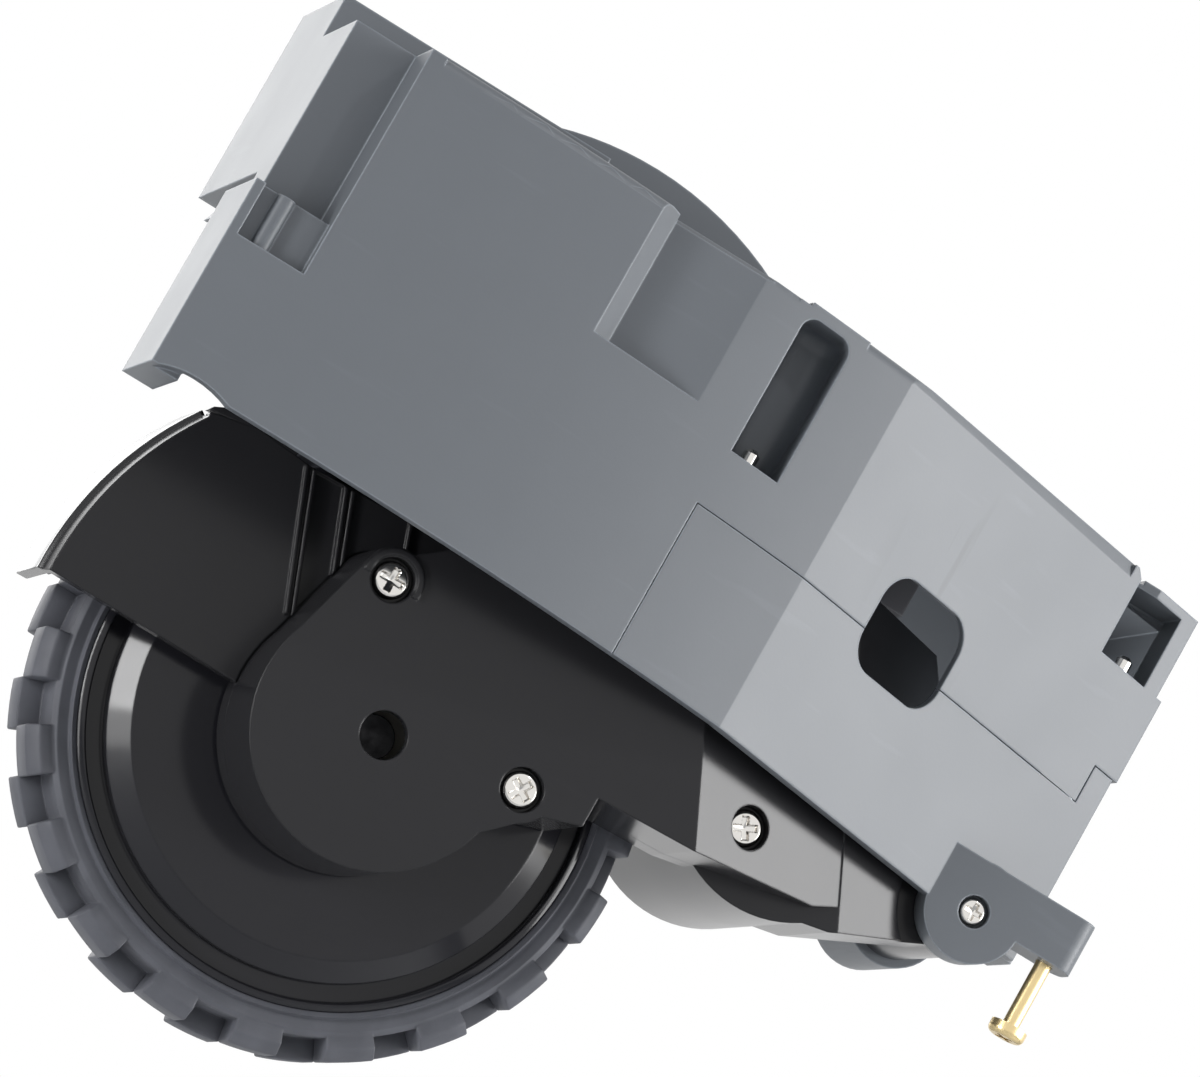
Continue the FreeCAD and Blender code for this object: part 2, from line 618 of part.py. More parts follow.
def gear_one():
    return compound_gear(FIRST_AXIS, FIRST_TEETH, REAR_LEVEL, direction(FIRST_AXIS, MOTOR_AXIS),
                         FIRST_PINION_TEETH, MID_LEVEL,
                         gap_phase(FIRST_PINION_TEETH, direction(FIRST_AXIS, SECOND_AXIS)), FINE_MODULE)


def gear_two():
    return compound_gear(SECOND_AXIS, SECOND_TEETH, MID_LEVEL, direction(SECOND_AXIS, FIRST_AXIS),
                         SECOND_PINION_TEETH, FRONT_LEVEL,
                         gap_phase(SECOND_PINION_TEETH, direction(SECOND_AXIS, THIRD_AXIS)), FINE_MODULE)


def gear_three():
    return compound_gear(THIRD_AXIS, THIRD_TEETH, FRONT_LEVEL, direction(THIRD_AXIS, SECOND_AXIS),
                         THIRD_PINION_TEETH, BACK_LEVEL,
                         gap_phase(THIRD_PINION_TEETH, direction(THIRD_AXIS, OUTPUT_AXIS)), OUTPUT_MODULE)


def gear_pins():
    return [rod_y(axis[0], axis[1], GEAR_PIN_RADIUS, front, back) for axis, front, back in PIN_PLACES]


def output_gear():
    wheel = gear(OUTPUT_TEETH, OUTPUT_MODULE, BACK_LEVEL, direction(OUTPUT_AXIS, THIRD_AXIS), 0, 0)
    hub = rod_y(0, 0, 4.6, BACK_LEVEL[0] - 3.0, BACK_LEVEL[1])
    return fuse([wheel, hub]).cut(rod_y(0, 0, OUTPUT_RADIUS, -LONG, LONG))


def output_shaft():
    shaft = rod_y(0, 0, OUTPUT_RADIUS, COVER_FACE_Y + 5.2, HUB_BACK_Y)
    return shaft.cut(rod_y(0, 0, HUB_SCREW_RADIUS, HUB_BACK_Y - 6.0, HUB_BACK_Y + 1.0))


def output_bush():
    ring = rod_y(0, 0, OUTPUT_RADIUS + RUN_CLEARANCE + BUSH_WALL, GEAR_FLOOR_Y - 0.2, LOBE_END_Y + 0.5)
    return ring.cut(rod_y(0, 0, OUTPUT_RADIUS + RUN_CLEARANCE, PARTING_Y - 1, LOBE_END_Y + 1))


def wheel_hub():
    """Black hub: a raised disc with a coned edge, a groove, the rim that carries the tyre, and inner spokes."""
    rim_end = WHEEL_WIDTH - 1.1
    inside = RIM_RADIUS - RIM_WALL
    profile = [(OUTPUT_RADIUS, HUB_FACE_Y), (HUB_FACE_RADIUS, HUB_FACE_Y), (HUB_CONE_RADIUS, 0.0),
               (HUB_CONE_RADIUS, 1.8), (RIM_RADIUS - 1.1, 1.8), (RIM_RADIUS - 0.9, 0.1), (RIM_RADIUS, 0.4),
               (RIM_RADIUS, rim_end), (inside, rim_end), (inside, 3.6), (HUB_CONE_RADIUS - RIM_WALL, 3.6),
               (HUB_FACE_RADIUS - 1.0, -0.2), (HUB_BOSS_RADIUS, -0.2), (HUB_BOSS_RADIUS, HUB_BACK_Y),
               (OUTPUT_RADIUS, HUB_BACK_Y)]
    hub = revolved_y(profile)
    side = [(HUB_BOSS_RADIUS - 0.5, -0.6), (HUB_FACE_RADIUS - 0.8, -0.6), (HUB_CONE_RADIUS - 1.2, 2.6),
            (inside + 0.4, 2.6), (inside + 0.4, HUB_BACK_Y - 1.0), (HUB_BOSS_RADIUS - 0.5, HUB_BACK_Y - 1.0)]
    blade = prism_z(side, -0.7, 0.7)
    return fuse([hub] + [turned(blade, 360 / SPOKES * i, 0, 0) for i in range(SPOKES)])


def hub_washer():
    return rod_y(0, 0, 5.0, HUB_BACK_Y, HUB_BACK_Y + HUB_WASHER).cut(rod_y(0, 0, HUB_SCREW_RADIUS, 0, LONG))


def hub_screw():
    seat = HUB_BACK_Y + HUB_WASHER
    head = rod_y(0, 0, 2.4, seat, seat + 1.2)
    return fuse([head, rod_y(0, 0, HUB_SCREW_RADIUS, HUB_BACK_Y - 5.0, seat + 0.2)])


def tyre():
    """Rubber tyre with a stepped sidewall and two staggered rows of lugs."""
    width = WHEEL_WIDTH
    profile = [(RIM_RADIUS, 0.6), (RIM_RADIUS + 0.6, 0.2), (RIM_RADIUS + 0.9, 0.9), (RIM_RADIUS + 2.2, 0.5),
               (TREAD_BASE_RADIUS, 0.9), (TREAD_BASE_RADIUS, width - 0.9), (RIM_RADIUS + 1.5, width - 0.3),
               (RIM_RADIUS, width - 1.1)]
    foot = TREAD_BASE_RADIUS - 0.6
    middle = width / 2
    near_lug = [(foot, 0.8), (WHEEL_RADIUS - 1.4, 0.3), (WHEEL_RADIUS, 1.8), (WHEEL_RADIUS, middle), (foot, middle)]
    far_lug_side = [(r, width - y) for r, y in near_lug]
    pitch = 360 / LUGS_PER_ROW
    lugs = []
    for row, side in enumerate((near_lug, far_lug_side)):
        for i in range(LUGS_PER_ROW):
            lugs.append(revolved_slice(side, LUG_PHASE + pitch * (i + row / 2), pitch * LUG_SHARE))
    return revolved_y(profile).multiFuse(lugs).removeSplitter()


def revolved_slice(profile, start, angle):
    corners = [V(r, y, 0) for r, y in profile]
    face = Part.Face(Part.makePolygon(corners + corners[:1]))
    piece = face.revolve(V(0, 0, 0), INWARD, angle)
    piece.rotate(V(0, 0, 0), INWARD, start - angle / 2)
    return piece


def cover_screws():
    screws = []
    for x, z, face in COVER_SCREWS:
        top = face + COUNTERSINK - SCREW_HEAD
        head = rod_y(x, z, SCREW_HEAD_RADIUS, top, top + SCREW_HEAD)
        rounding = head.Edges
        crown = [e for e in rounding if e.Closed and abs(e.CenterOfMass.y - top) < 1e-3]
        head = head.makeFillet(0.6, crown)
        for turn in (0, 90):
            cross = box(x - 0.3, x + 0.3, top - 1, top + 0.7, z - 1.35, z + 1.35)
            head = head.cut(turned(cross, 30 + turn, x, z))
        shank = rod_y(x, z, SCREW_RADIUS, top + SCREW_HEAD - 0.1, min(top + SCREW_LENGTH, PARTING_Y + 2.0))
        screws.append(fuse([head, shank]))
    return screws


def housing_plan():
    """The housing's block in plan, outside and inside, before the wall is curved."""
    outer = [(FOOT_X, -60), (RIGHT_X, -60), (RIGHT_X, MOTOR_BAY_Y), (MOTOR_BAY_X, MOTOR_BAY_Y),
             (MOTOR_BAY_X, BAY_Y), (LEFT_X, BAY_Y), (LEFT_X, WALL_Y + FOOT_DEPTH), (FOOT_X, WALL_Y + FOOT_DEPTH)]
    inner = [(LEFT_X + WALL, -60), (RIGHT_X - WALL, -60), (RIGHT_X - WALL, MOTOR_BAY_Y - SKIN),
             (MOTOR_BAY_X + SKIN, MOTOR_BAY_Y - SKIN), (MOTOR_BAY_X + SKIN, WELL_Y - SKIN),
             (LEFT_X + WALL, WELL_Y - SKIN)]
    return outer, inner


def upper_housing():
    outer_plan, inner_plan = housing_plan()
    outside = behind_wall(0)
    inside = behind_wall(WALL)
    block = prism_z(outer_plan, BOTTOM_Z, TOP_Z).common(outside)
    crest = [e for e in block.Edges if abs(e.BoundBox.ZMin - TOP_Z) < 1e-3 and abs(e.BoundBox.ZMax - TOP_Z) < 1e-3
             and e.BoundBox.YMin < wall_y(CREASE_X) - 1e-3 and e.BoundBox.XLength > 1.0]
    block = block.makeFillet(CREST_ROUND, crest).cut(crest_chamfer())
    pocket = box(LEFT_X, POCKET_RIGHT_X, POCKET_Y, BAY_Y, POCKET_BOTTOM_Z, POCKET_TOP_Z)
    arch_x, arch_z = arch_centre()
    arch = rod_y(arch_x, arch_z, ARCH_RADIUS, ARCH_START_Y, WELL_Y)
    arch = arch.cut(box(-LONG, LONG, -LONG, LONG, -LONG, BOTTOM_Z))
    arch = arch.cut(box(-LONG, -20.0, -LONG, LONG, -LONG, POCKET_BOTTOM_Z))
    shell = fuse([block, pocket, arch])
    room = prism_z(inner_plan, BOTTOM_Z - 1, TOP_Z - ROOF_WALL).common(inside)
    room = room.cut(box(-LONG, LONG, BAY_Y - SKIN, LONG, -LONG, LONG).cut(
        rod_y(arch_x, arch_z, ARCH_RADIUS - ROOF_WALL, -LONG, LONG)).cut(
        box(MOTOR_BAY_X + SKIN, LONG, -LONG, LONG, -LONG, LONG)))
    pocket_room = box(LEFT_X + WALL, POCKET_RIGHT_X - SKIN, POCKET_Y + SKIN, BAY_Y - SKIN, BOTTOM_Z,
                      POCKET_TOP_Z - SKIN)
    arch_room = rod_y(arch_x, arch_z, ARCH_RADIUS - ROOF_WALL, ARCH_START_Y + SKIN, WELL_Y - SKIN)
    arch_room = fuse([arch_room, box(arch_x - ARCH_RADIUS, MOTOR_BAY_X + 2, ARCH_START_Y + SKIN, WELL_Y - SKIN,
                                     -LONG, arch_z)])
    relief = box(POCKET_RIGHT_X - 4, POCKET_RIGHT_X + 6, POCKET_Y, ARCH_START_Y + SKIN + 1, POCKET_BOTTOM_Z,
                 TOP_Z - ROOF_WALL + ROOF_RELIEF)
    open_end = box(-LONG, LEFT_X + WALL + 1, WALL_Y + FOOT_DEPTH, LONG, -LONG, POCKET_BOTTOM_Z)
    shell = shell.cut(room).cut(pocket_room).cut(relief).cut(arch_room).cut(open_end)
    shell = shell.cut(box(MOTOR_BAY_X - 1, LONG, WELL_Y - SKIN, LONG, -LONG, MOTOR_BAY_Z))
    peg = spring_peg(SPRING_X - PEG_END, RIGHT_X - WALL / 2, SPRING_TOP_Z)
    shell = shell.fuse([far_lug(), peg] + sensor_posts())
    return wall_features(shell, outside)


def crest_chamfer():
    """Wedge that bevels the top edge of the bent wall, wider towards the right end."""
    run = (RIGHT_X - CREASE_X) / math.cos(math.radians(BENT_ANGLE)) + 1.0
    ends = []
    for along, size in ((0.0, CREST_BEVEL[0]), (run, CREST_BEVEL[1])):
        corners = [V(along, -0.01, -size), V(along, size * CREST_SLOPE, 0.01), V(along, -0.01, 0.01)]
        ends.append(Part.makePolygon(corners + corners[:1]))
    return on_bent_wall(Part.makeLoft(ends, True, True), CREASE_X, TOP_Z)


def arch_centre():
    """The wheel's axis with the arm lifted: the arch over the wheel is drawn about it."""
    lift = math.radians(LIFT_ANGLE)
    dx, dz = -PIVOT_X, -PIVOT_Z
    return (PIVOT_X + dx * math.cos(lift) + dz * math.sin(lift),
            PIVOT_Z - dx * math.sin(lift) + dz * math.cos(lift))


def far_lug():
    """Inner bearing of the pivot, hung from the end wall of the motor bay."""
    lug = rod_y(PIVOT_X, PIVOT_Z, FAR_LUG_RADIUS, BARREL_END_Y + END_PLAY, FAR_LUG_END_Y)
    web = box(PIVOT_X, RIGHT_X, BARREL_END_Y + END_PLAY, FAR_LUG_END_Y, PIVOT_Z + 1.0, MOTOR_BAY_Z + 4)
    bore = rod_y(PIVOT_X, PIVOT_Z, PIVOT_PIN_RADIUS, BARREL_END_Y - 1, FAR_LUG_END_Y - 2)
    return fuse([lug, web]).cut(bore)


def slot_axis():
    x = SLOT_X + SLOT_WIDTH / 2
    return x, wall_y(x) + SLOT_SCREW_DEPTH


def window_axis():
    x = WINDOW_X + WINDOW_WIDTH - CAPTIVE_HEAD_RADIUS - 1.0
    return x, wall_y(x) + WINDOW_SCREW_DEPTH


def wall_features(shell, outside):
    slot_x, slot_y = slot_axis()
    back = wall_y(slot_x) + SLOT_DEPTH
    lining = box(SLOT_X - SKIN, SLOT_X + SLOT_WIDTH + SKIN, WALL_Y, back + SKIN, BOTTOM_Z + 6, SLOT_TOP_Z + 1.4)
    shell = shell.fuse(lining.common(outside))
    slot = box(SLOT_X, SLOT_X + SLOT_WIDTH, -LONG, back, SLOT_FLOOR_Z, SLOT_TOP_Z)
    slot = slot.makeFillet(2.4, [e for e in slot.Edges if abs(e.CenterOfMass.y - back) < 1e-3
                                 and abs(e.CenterOfMass.z - (SLOT_FLOOR_Z + SLOT_TOP_Z) / 2) < 1e-3])
    slot = slot.makeFillet(1.8, [e for e in slot.Edges if abs(e.CenterOfMass.z - SLOT_TOP_Z) < 1e-3
                                 and abs(e.tangentAt(e.FirstParameter).y) > 0.9])
    shell = shell.cut(slot)
    shell = shell.cut(rod_z(slot_x, slot_y, CAPTIVE_RADIUS + CAPTIVE_CLEARANCE, 0, SLOT_FLOOR_Z + 1))
    shell = shell.cut(rod_z(slot_x, slot_y, CAPTIVE_HEAD_RADIUS + 0.25, -LONG, SLOT_FLOOR_Z - 5))
    floor_y = wall_y(RECESS_END_X)
    recess = [(RECESS_X, -LONG), (RECESS_X, wall_y(RECESS_X)), (RECESS_X + RECESS_CHAMFER, floor_y),
              (RECESS_END_X + 8, floor_y), (RECESS_END_X + 8, -LONG)]
    shell = shell.fuse(box(RECESS_X - 1, RECESS_END_X + 1, floor_y - 1, floor_y + WALL, RECESS_Z - 1, TOP_Z)
                       .common(outside))
    shell = shell.cut(prism_z(recess, RECESS_Z, LONG)).cut(recess_top(floor_y))
    lining = box(FOOT_X, CHANNEL_X + WALL, WALL_Y, WALL_Y + CHANNEL_DEPTH + WALL, CHANNEL_Z - WALL, TOP_Z)
    shell = shell.fuse(lining.common(outside))
    shell = shell.cut(box(-LONG, CHANNEL_X, -LONG, WALL_Y + CHANNEL_DEPTH, CHANNEL_Z, LONG))
    shell = shell.cut(box(-LONG, LEFT_X, -LONG, LONG, CHANNEL_Z, LONG))
    shell = shell.cut(box(FOOT_X + 1.2, CHANNEL_X, -LONG, WALL_Y + STEP_DEPTH, STEP_Z, CHANNEL_Z + 1))
    rib = rod_z(FOOT_X + 4.2, WALL_Y + STEP_DEPTH, 1.1, STEP_Z, CHANNEL_Z)
    shell = shell.fuse(rib)
    shell = shell.cut(foot_relief())
    window_x, window_y = window_axis()
    inner_y = wall_y(WINDOW_X) + WINDOW_DEPTH
    lining = box(WINDOW_X - SKIN, RIGHT_X, WALL_Y, inner_y, WINDOW_FLOOR_Z - 8, TOP_Z)
    shell = shell.fuse(lining.common(outside))
    shell = shell.cut(box(WINDOW_X, WINDOW_X + WINDOW_WIDTH, -LONG, inner_y + 1.0, WINDOW_FLOOR_Z, WINDOW_TOP_Z))
    shell = shell.cut(box(WINDOW_X, LONG, -LONG, wall_y(WINDOW_X) + WINDOW_SILL_BACK, WINDOW_FLOOR_Z, LONG))
    shell = shell.cut(box(WINDOW_X, LONG, -LONG, inner_y, TOP_Z - WINDOW_FRAME_DROP, LONG))
    shell = shell.cut(box(RIGHT_X - WINDOW_FRAME_INSET, LONG, -LONG, inner_y, WINDOW_FLOOR_Z, LONG))
    corner = [(WINDOW_X - WINDOW_CORNER, TOP_Z), (WINDOW_X + 1, TOP_Z), (WINDOW_X + 1, TOP_Z - WINDOW_CORNER),
              (WINDOW_X, TOP_Z - WINDOW_CORNER)]
    shell = shell.cut(prism_y(corner, WALL_Y, inner_y))
    shell = shell.cut(rod_z(window_x, window_y, CAPTIVE_RADIUS + CAPTIVE_CLEARANCE, 0, WINDOW_FLOOR_Z + 1))
    shell = shell.cut(rod_z(window_x, window_y, CAPTIVE_HEAD_RADIUS + 0.25, -LONG, WINDOW_FLOOR_Z - 5))
    shell = shell.cut(cover_space(SEAM)).cut(port_hole())
    return shell.removeSplitter()


def recess_top(floor_y):
    """What the top edge is lowered and bevelled by above the shallow recess."""
    left, low = RECESS_X + RECESS_CHAMFER, TOP_Z - RECESS_TOP_DROP
    slope = [V(left, floor_y - 0.01, low - RECESS_TOP_BEVEL), V(left, floor_y - 0.01, low + 0.01),
             V(left, floor_y + RECESS_TOP_BEVEL, low + 0.01)]
    bevel = Part.Face(Part.makePolygon(slope + slope[:1])).extrude(V(SLOT_X - left, 0, 0))
    return fuse([box(left, SLOT_X, -LONG, POCKET_Y, low, LONG), bevel])


def foot_relief():
    """Shallow arc that the outer wall's lower edge makes beside the foot at the left end."""
    half = (FOOT_ARC_END_X - FOOT_ARC_X) / 2
    radius = (half ** 2 + FOOT_ARC_RISE ** 2) / (2 * FOOT_ARC_RISE)
    middle = FOOT_ARC_X + half
    return rod_y(middle, BOTTOM_Z + FOOT_ARC_RISE - radius, radius, WALL_Y - 1, WALL_Y + WALL + 1)


def port_hole():
    """The port through the bent wall, wider behind its thin rim."""
    hole = rounded_block(PORT_WIDTH, PORT_HEIGHT, -10, 9, PORT_ROUND)
    wide, high = PORT_WIDTH + 2 * PORT_RELIEF, PORT_HEIGHT + 2 * PORT_RELIEF
    relief = rounded_block(wide, high, PORT_RIM, 9, PORT_ROUND + PORT_RELIEF)
    return on_bent_wall(fuse([hole, relief]), PORT_X, PORT_Z)


def cover_space(gap):
    """The region of the outer wall that the lower cover fills, grown by the seam gap."""
    low = box(SPLIT_X - gap, LONG, -LONG, LONG, -LONG, SPLIT_Z + gap)
    tab = box(TAB_X - gap, LONG, -LONG, LONG, -LONG, TAB_Z + gap)
    band = behind_wall(-20).cut(behind_wall(WALL + 0.1))
    limit = box(-LONG, LONG, -LONG, wall_y(RIGHT_X) + 5.0, -LONG, LONG)
    return fuse([low, tab]).common(band).common(limit)


def upper_wall_band():
    """The upper shell's wall above the split, grown by the seam gap."""
    return behind_wall(-1).cut(behind_wall(WALL + SEAM)).common(
        box(-LONG, LONG, -LONG, LONG, SPLIT_Z + SEAM - 0.01, LONG))


def lower_cover():
    """Second shell: the lower part of the bent wall, with the ear and the outer lug of the pivot."""
    right = RIGHT_X - 0.7
    wall = behind_wall(0).cut(behind_wall(WALL))
    low = box(SPLIT_X, right, -LONG, wall_y(right) + WALL + 2, BOTTOM_Z, SPLIT_Z)
    tab = box(TAB_X, right, -LONG, wall_y(right) + WALL + 2, BOTTOM_Z, TAB_Z)
    cover = wall.common(fuse([low, tab]))
    tongue = behind_wall(WALL - 0.2).cut(behind_wall(WALL + 1.3))
    tongue = tongue.common(box(TONGUE_X[0], TONGUE_X[1], WALL_Y, 0, SPLIT_Z - 5.0, SPLIT_Z + 4.0))
    tongue = tongue.cut(upper_wall_band())
    cover = cover.fuse(tongue)
    lug = rod_y(PIVOT_X, PIVOT_Z, NEAR_LUG_RADIUS, LUG_FACE_Y, LUG_END_Y)
    neck = box(PIVOT_X - NEAR_LUG_RADIUS, PIVOT_X + NEAR_LUG_RADIUS, LUG_FACE_Y, LUG_END_Y, PIVOT_Z, EAR_SEAT_Z)
    ear = box(EAR_LEFT_X, EAR_RIGHT_X, LUG_FACE_Y, LUG_FACE_Y + EAR_DEPTH, EAR_SEAT_Z - EAR_THICK, EAR_SEAT_Z)
    ends = [e for e in ear.Edges if abs(e.tangentAt(e.FirstParameter).z) > 0.9
            and abs(e.CenterOfMass.x - EAR_RIGHT_X) < 1e-3]
    ear = ear.makeFillet(EAR_ROUND, ends)
    bridge = box(PIVOT_X, right, LUG_END_Y - 1, wall_y(right), EAR_SEAT_Z - 2.4, EAR_SEAT_Z).common(behind_wall(-6))
    cover = fuse([cover, lug, neck.common(behind_wall(-8)), ear, bridge])
    cover = cover.cut(rod_y(PIVOT_X, PIVOT_Z, BARREL_RADIUS + 0.5, LUG_END_Y, LONG))
    cover = cover.cut(rod_y(PIVOT_X, PIVOT_Z, PIVOT_PIN_RADIUS, LUG_FACE_Y + 1.6, LONG))
    cover = cover.cut(rod_y(PIVOT_X, PIVOT_Z, 1.9, -LONG, LUG_FACE_Y + 1.6))
    cover = cover.cut(rod_z(EAR_SCREW_X, 0, CAPTIVE_RADIUS + CAPTIVE_CLEARANCE, 0, LONG))
    return cover.cut(port_hole()).removeSplitter()


def spring_peg(x0, x1, z):
    return Part.makeCylinder(PEG_RADIUS, x1 - x0, V(x0, SPRING_Y, z), V(1, 0, 0))


def wire_section(centre, across, up):
    """Six-sided section of the spring wire about a point, in the plane of two unit directions."""
    corners = []
    for i in range(6):
        angle = math.radians(60 * i)
        corners.append(centre + across * (SPRING_WIRE * math.cos(angle)) + up * (SPRING_WIRE * math.sin(angle)))
    return Part.makePolygon(corners + corners[:1])


def spring_coil():
    path = []
    for i in range(SPRING_STEPS * SPRING_TURNS + 1):
        angle = 2 * math.pi * i / SPRING_STEPS
        path.append(V(SPRING_X + SPRING_RADIUS * math.cos(angle), SPRING_Y + SPRING_RADIUS * math.sin(angle),
                      SPRING_START_Z + SPRING_PITCH * i / SPRING_STEPS))
    along = (path[1] - path[0]).normalize()
    up = along.cross(V(1, 0, 0)).normalize()
    across = up.cross(along).normalize()
    return Part.makePolygon(path).makePipeShell([wire_section(path[0], across, up)], True, False, 1)


def suspension_spring():
    """Extension spring: a coil with an eye at each end, one on the arm's peg and one on the housing's."""
    eye = PEG_RADIUS + PEG_ROOM + SPRING_WIRE
    low_z, high_z = PIVOT_Z + PEG_ROOM, SPRING_TOP_Z - PEG_ROOM
    end_z = SPRING_START_Z + SPRING_PITCH * SPRING_TURNS
    pieces = [spring_coil()]
    for eye_z, coil_z, toward in ((low_z, SPRING_START_Z, 1), (high_z, end_z, -1)):
        centre = V(SPRING_X, SPRING_Y, eye_z)
        section = Part.Face(wire_section(centre + INWARD * eye, INWARD, V(1, 0, 0)))
        pieces.append(section.revolve(centre, V(1, 0, 0), 360))
        neck = sorted([eye_z + toward * eye, coil_z + toward * SPRING_WIRE])
        pieces.append(rod_z(SPRING_X, SPRING_Y, SPRING_WIRE * 0.8, neck[0], neck[1]))
        pieces.append(Part.makeCylinder(SPRING_WIRE * 0.8, SPRING_RADIUS, V(SPRING_X, SPRING_Y, coil_z), V(1, 0, 0)))
    return pieces[0].multiFuse(pieces[1:])


def pivot_pin():
    return rod_y(PIVOT_X, PIVOT_Z, PIVOT_PIN_RADIUS, LUG_FACE_Y + 2.6, FAR_LUG_END_Y - 2)


def pivot_bushes():
    bushes = []
    outer = PIVOT_PIN_RADIUS + 1.4
    for y0, y1 in ((LUG_END_Y + END_PLAY, 8.0), (BARREL_END_Y - 6.7, BARREL_END_Y)):
        ring = rod_y(PIVOT_X, PIVOT_Z, outer, y0, y1)
        bushes.append(ring.cut(rod_y(PIVOT_X, PIVOT_Z, PIVOT_PIN_RADIUS + RUN_CLEARANCE, y0 - 1, y1 + 1)))
    return bushes


def pivot_screw():
    head = rod_y(PIVOT_X, PIVOT_Z, 1.55, LUG_FACE_Y + 0.3, LUG_FACE_Y + 1.5)
    for turn in (0, 90):
        cross = box(PIVOT_X - 0.2, PIVOT_X + 0.2, -LONG, LUG_FACE_Y + 0.8, PIVOT_Z - 1.0, PIVOT_Z + 1.0)
        head = head.cut(turned(cross, 20 + turn))
    return fuse([head, rod_y(PIVOT_X, PIVOT_Z, 0.9, LUG_FACE_Y + 1.4, LUG_FACE_Y + 2.6)])


def captive_screw(x, y, head_z, length):
    """Screw with its head below: head_z is the underside, where the shank begins."""
    head = rod_z(x, y, CAPTIVE_HEAD_RADIUS, head_z - CAPTIVE_HEAD, head_z)
    crown = [e for e in head.Edges if e.Closed and abs(e.CenterOfMass.z - (head_z - CAPTIVE_HEAD)) < 1e-3]
    head = head.makeFillet(0.7, crown)
    for turn in (0, 90):
        cross = box(x - 0.3, x + 0.3, y - 1.3, y + 1.3, head_z - CAPTIVE_HEAD - 1, head_z - CAPTIVE_HEAD + 0.8)
        cross.rotate(V(x, y, 0), UP, 35 + turn)
        head = head.cut(cross)
    shank = rod_z(x, y, CAPTIVE_RADIUS, head_z - 0.1, head_z + length)
    return fuse([head, shank])


def ear_screw():
    return captive_screw(EAR_SCREW_X, 0, EAR_SEAT_Z - EAR_THICK - EAR_SCREW_DROP, 14.0)


def slot_screw():
    x, y = slot_axis()
    return captive_screw(x, y, SLOT_FLOOR_Z - 11.0, 11.6)


def corner_screw():
    x, y = window_axis()
    return captive_screw(x, y, WINDOW_FLOOR_Z - 8.8, 9.4)


def place(shape):
    copy = shape.copy()
    copy.translate(V(0, 0, 0) - ORIGIN)
    return copy


PARTS = {
    "upper_housing": upper_housing,
    "lower_cover": lower_cover,
    "retract_sensor": retract_sensor,
    "sensor_board": sensor_board,
    "pivot_pin": pivot_pin,
    "pivot_screw": pivot_screw,
    "suspension_spring": suspension_spring,
    "ear_screw": ear_screw,
    "slot_screw": slot_screw,
    "corner_screw": corner_screw,
    "gearbox_case": gearbox_case,
    "gearbox_cover": gearbox_cover,
    "cover_screws": cover_screws,
    "gear_pins": gear_pins,
    "output_bush": output_bush,
    "pivot_bushes": pivot_bushes,
    "motor_can": motor_can,
    "motor_magnets": motor_magnets,
    "motor_endbell": motor_endbell,
    "motor_rear_cover": motor_rear_cover,
    "encoder_board": encoder_board,
    "rotor_core": rotor_core,
    "motor_shaft": motor_shaft,
    "motor_pinion": motor_pinion,
    "gear_one": gear_one,
    "gear_two": gear_two,
    "gear_three": gear_three,
    "output_gear": output_gear,
    "output_shaft": output_shaft,
    "wheel_hub": wheel_hub,
    "hub_washer": hub_washer,
    "hub_screw": hub_screw,
    "tyre": tyre,
}


def main():
    os.makedirs("parts", exist_ok=True)
    for name, make in PARTS.items():
        made = make()
        solids = made if isinstance(made, list) else made.Solids
        placed = [place(s) for s in solids]
        shape = placed[0] if len(placed) == 1 else Part.makeCompound(placed)
        shape.exportStep("parts/" + name + ".step")
        print(name, len(placed), all(s.isValid() for s in placed), round(shape.Volume, 1))


main()
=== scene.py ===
import math

import bmesh
import bpy
from mathutils import Matrix, Quaternion, Vector


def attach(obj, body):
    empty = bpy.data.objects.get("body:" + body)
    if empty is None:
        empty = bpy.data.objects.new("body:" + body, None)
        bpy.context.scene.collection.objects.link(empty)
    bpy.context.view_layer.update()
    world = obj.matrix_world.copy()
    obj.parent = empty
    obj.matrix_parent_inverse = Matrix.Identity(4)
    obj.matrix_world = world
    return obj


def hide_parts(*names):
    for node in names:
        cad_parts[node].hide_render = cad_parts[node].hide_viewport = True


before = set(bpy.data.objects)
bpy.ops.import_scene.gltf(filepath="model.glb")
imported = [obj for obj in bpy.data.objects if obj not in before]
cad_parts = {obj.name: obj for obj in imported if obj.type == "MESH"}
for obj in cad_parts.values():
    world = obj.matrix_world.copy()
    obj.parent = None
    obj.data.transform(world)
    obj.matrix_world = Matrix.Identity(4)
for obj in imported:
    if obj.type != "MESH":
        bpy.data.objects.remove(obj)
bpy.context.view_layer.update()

bl_info = {
    "name": "Robot vacuum wheel module",
    "version": (1, 0, 0),
    "blender": (4, 5, 0),
    "location": "View3D > Sidebar > Wheel module",
    "description": "Dresses a drive wheel module: moulded housing, glossy gear case and treaded wheel",
    "category": "Object",
}

MM = 0.001
# Point on the wheel's axis, level with the tyre's near side, from which the pieces here are measured
AXLE = Vector((-78.5, 0.0, -26.3)) * MM

# The photograph's camera: where it stands, which way its right, down and forward axes point, and its lens
CAMERA_AT = Vector((-268.4, -1051.0, -184.0)) * MM
CAMERA_RIGHT = Vector((0.83751, -0.25160, 0.48505))
CAMERA_DOWN = Vector((0.51323, 0.05750, -0.85632))
CAMERA_FORWARD = Vector((0.18755, 0.96610, 0.17729))
CAMERA_LENS = 288.0
CAMERA_SENSOR = 36.0
CAMERA_REACH = (0.1, 20.0)

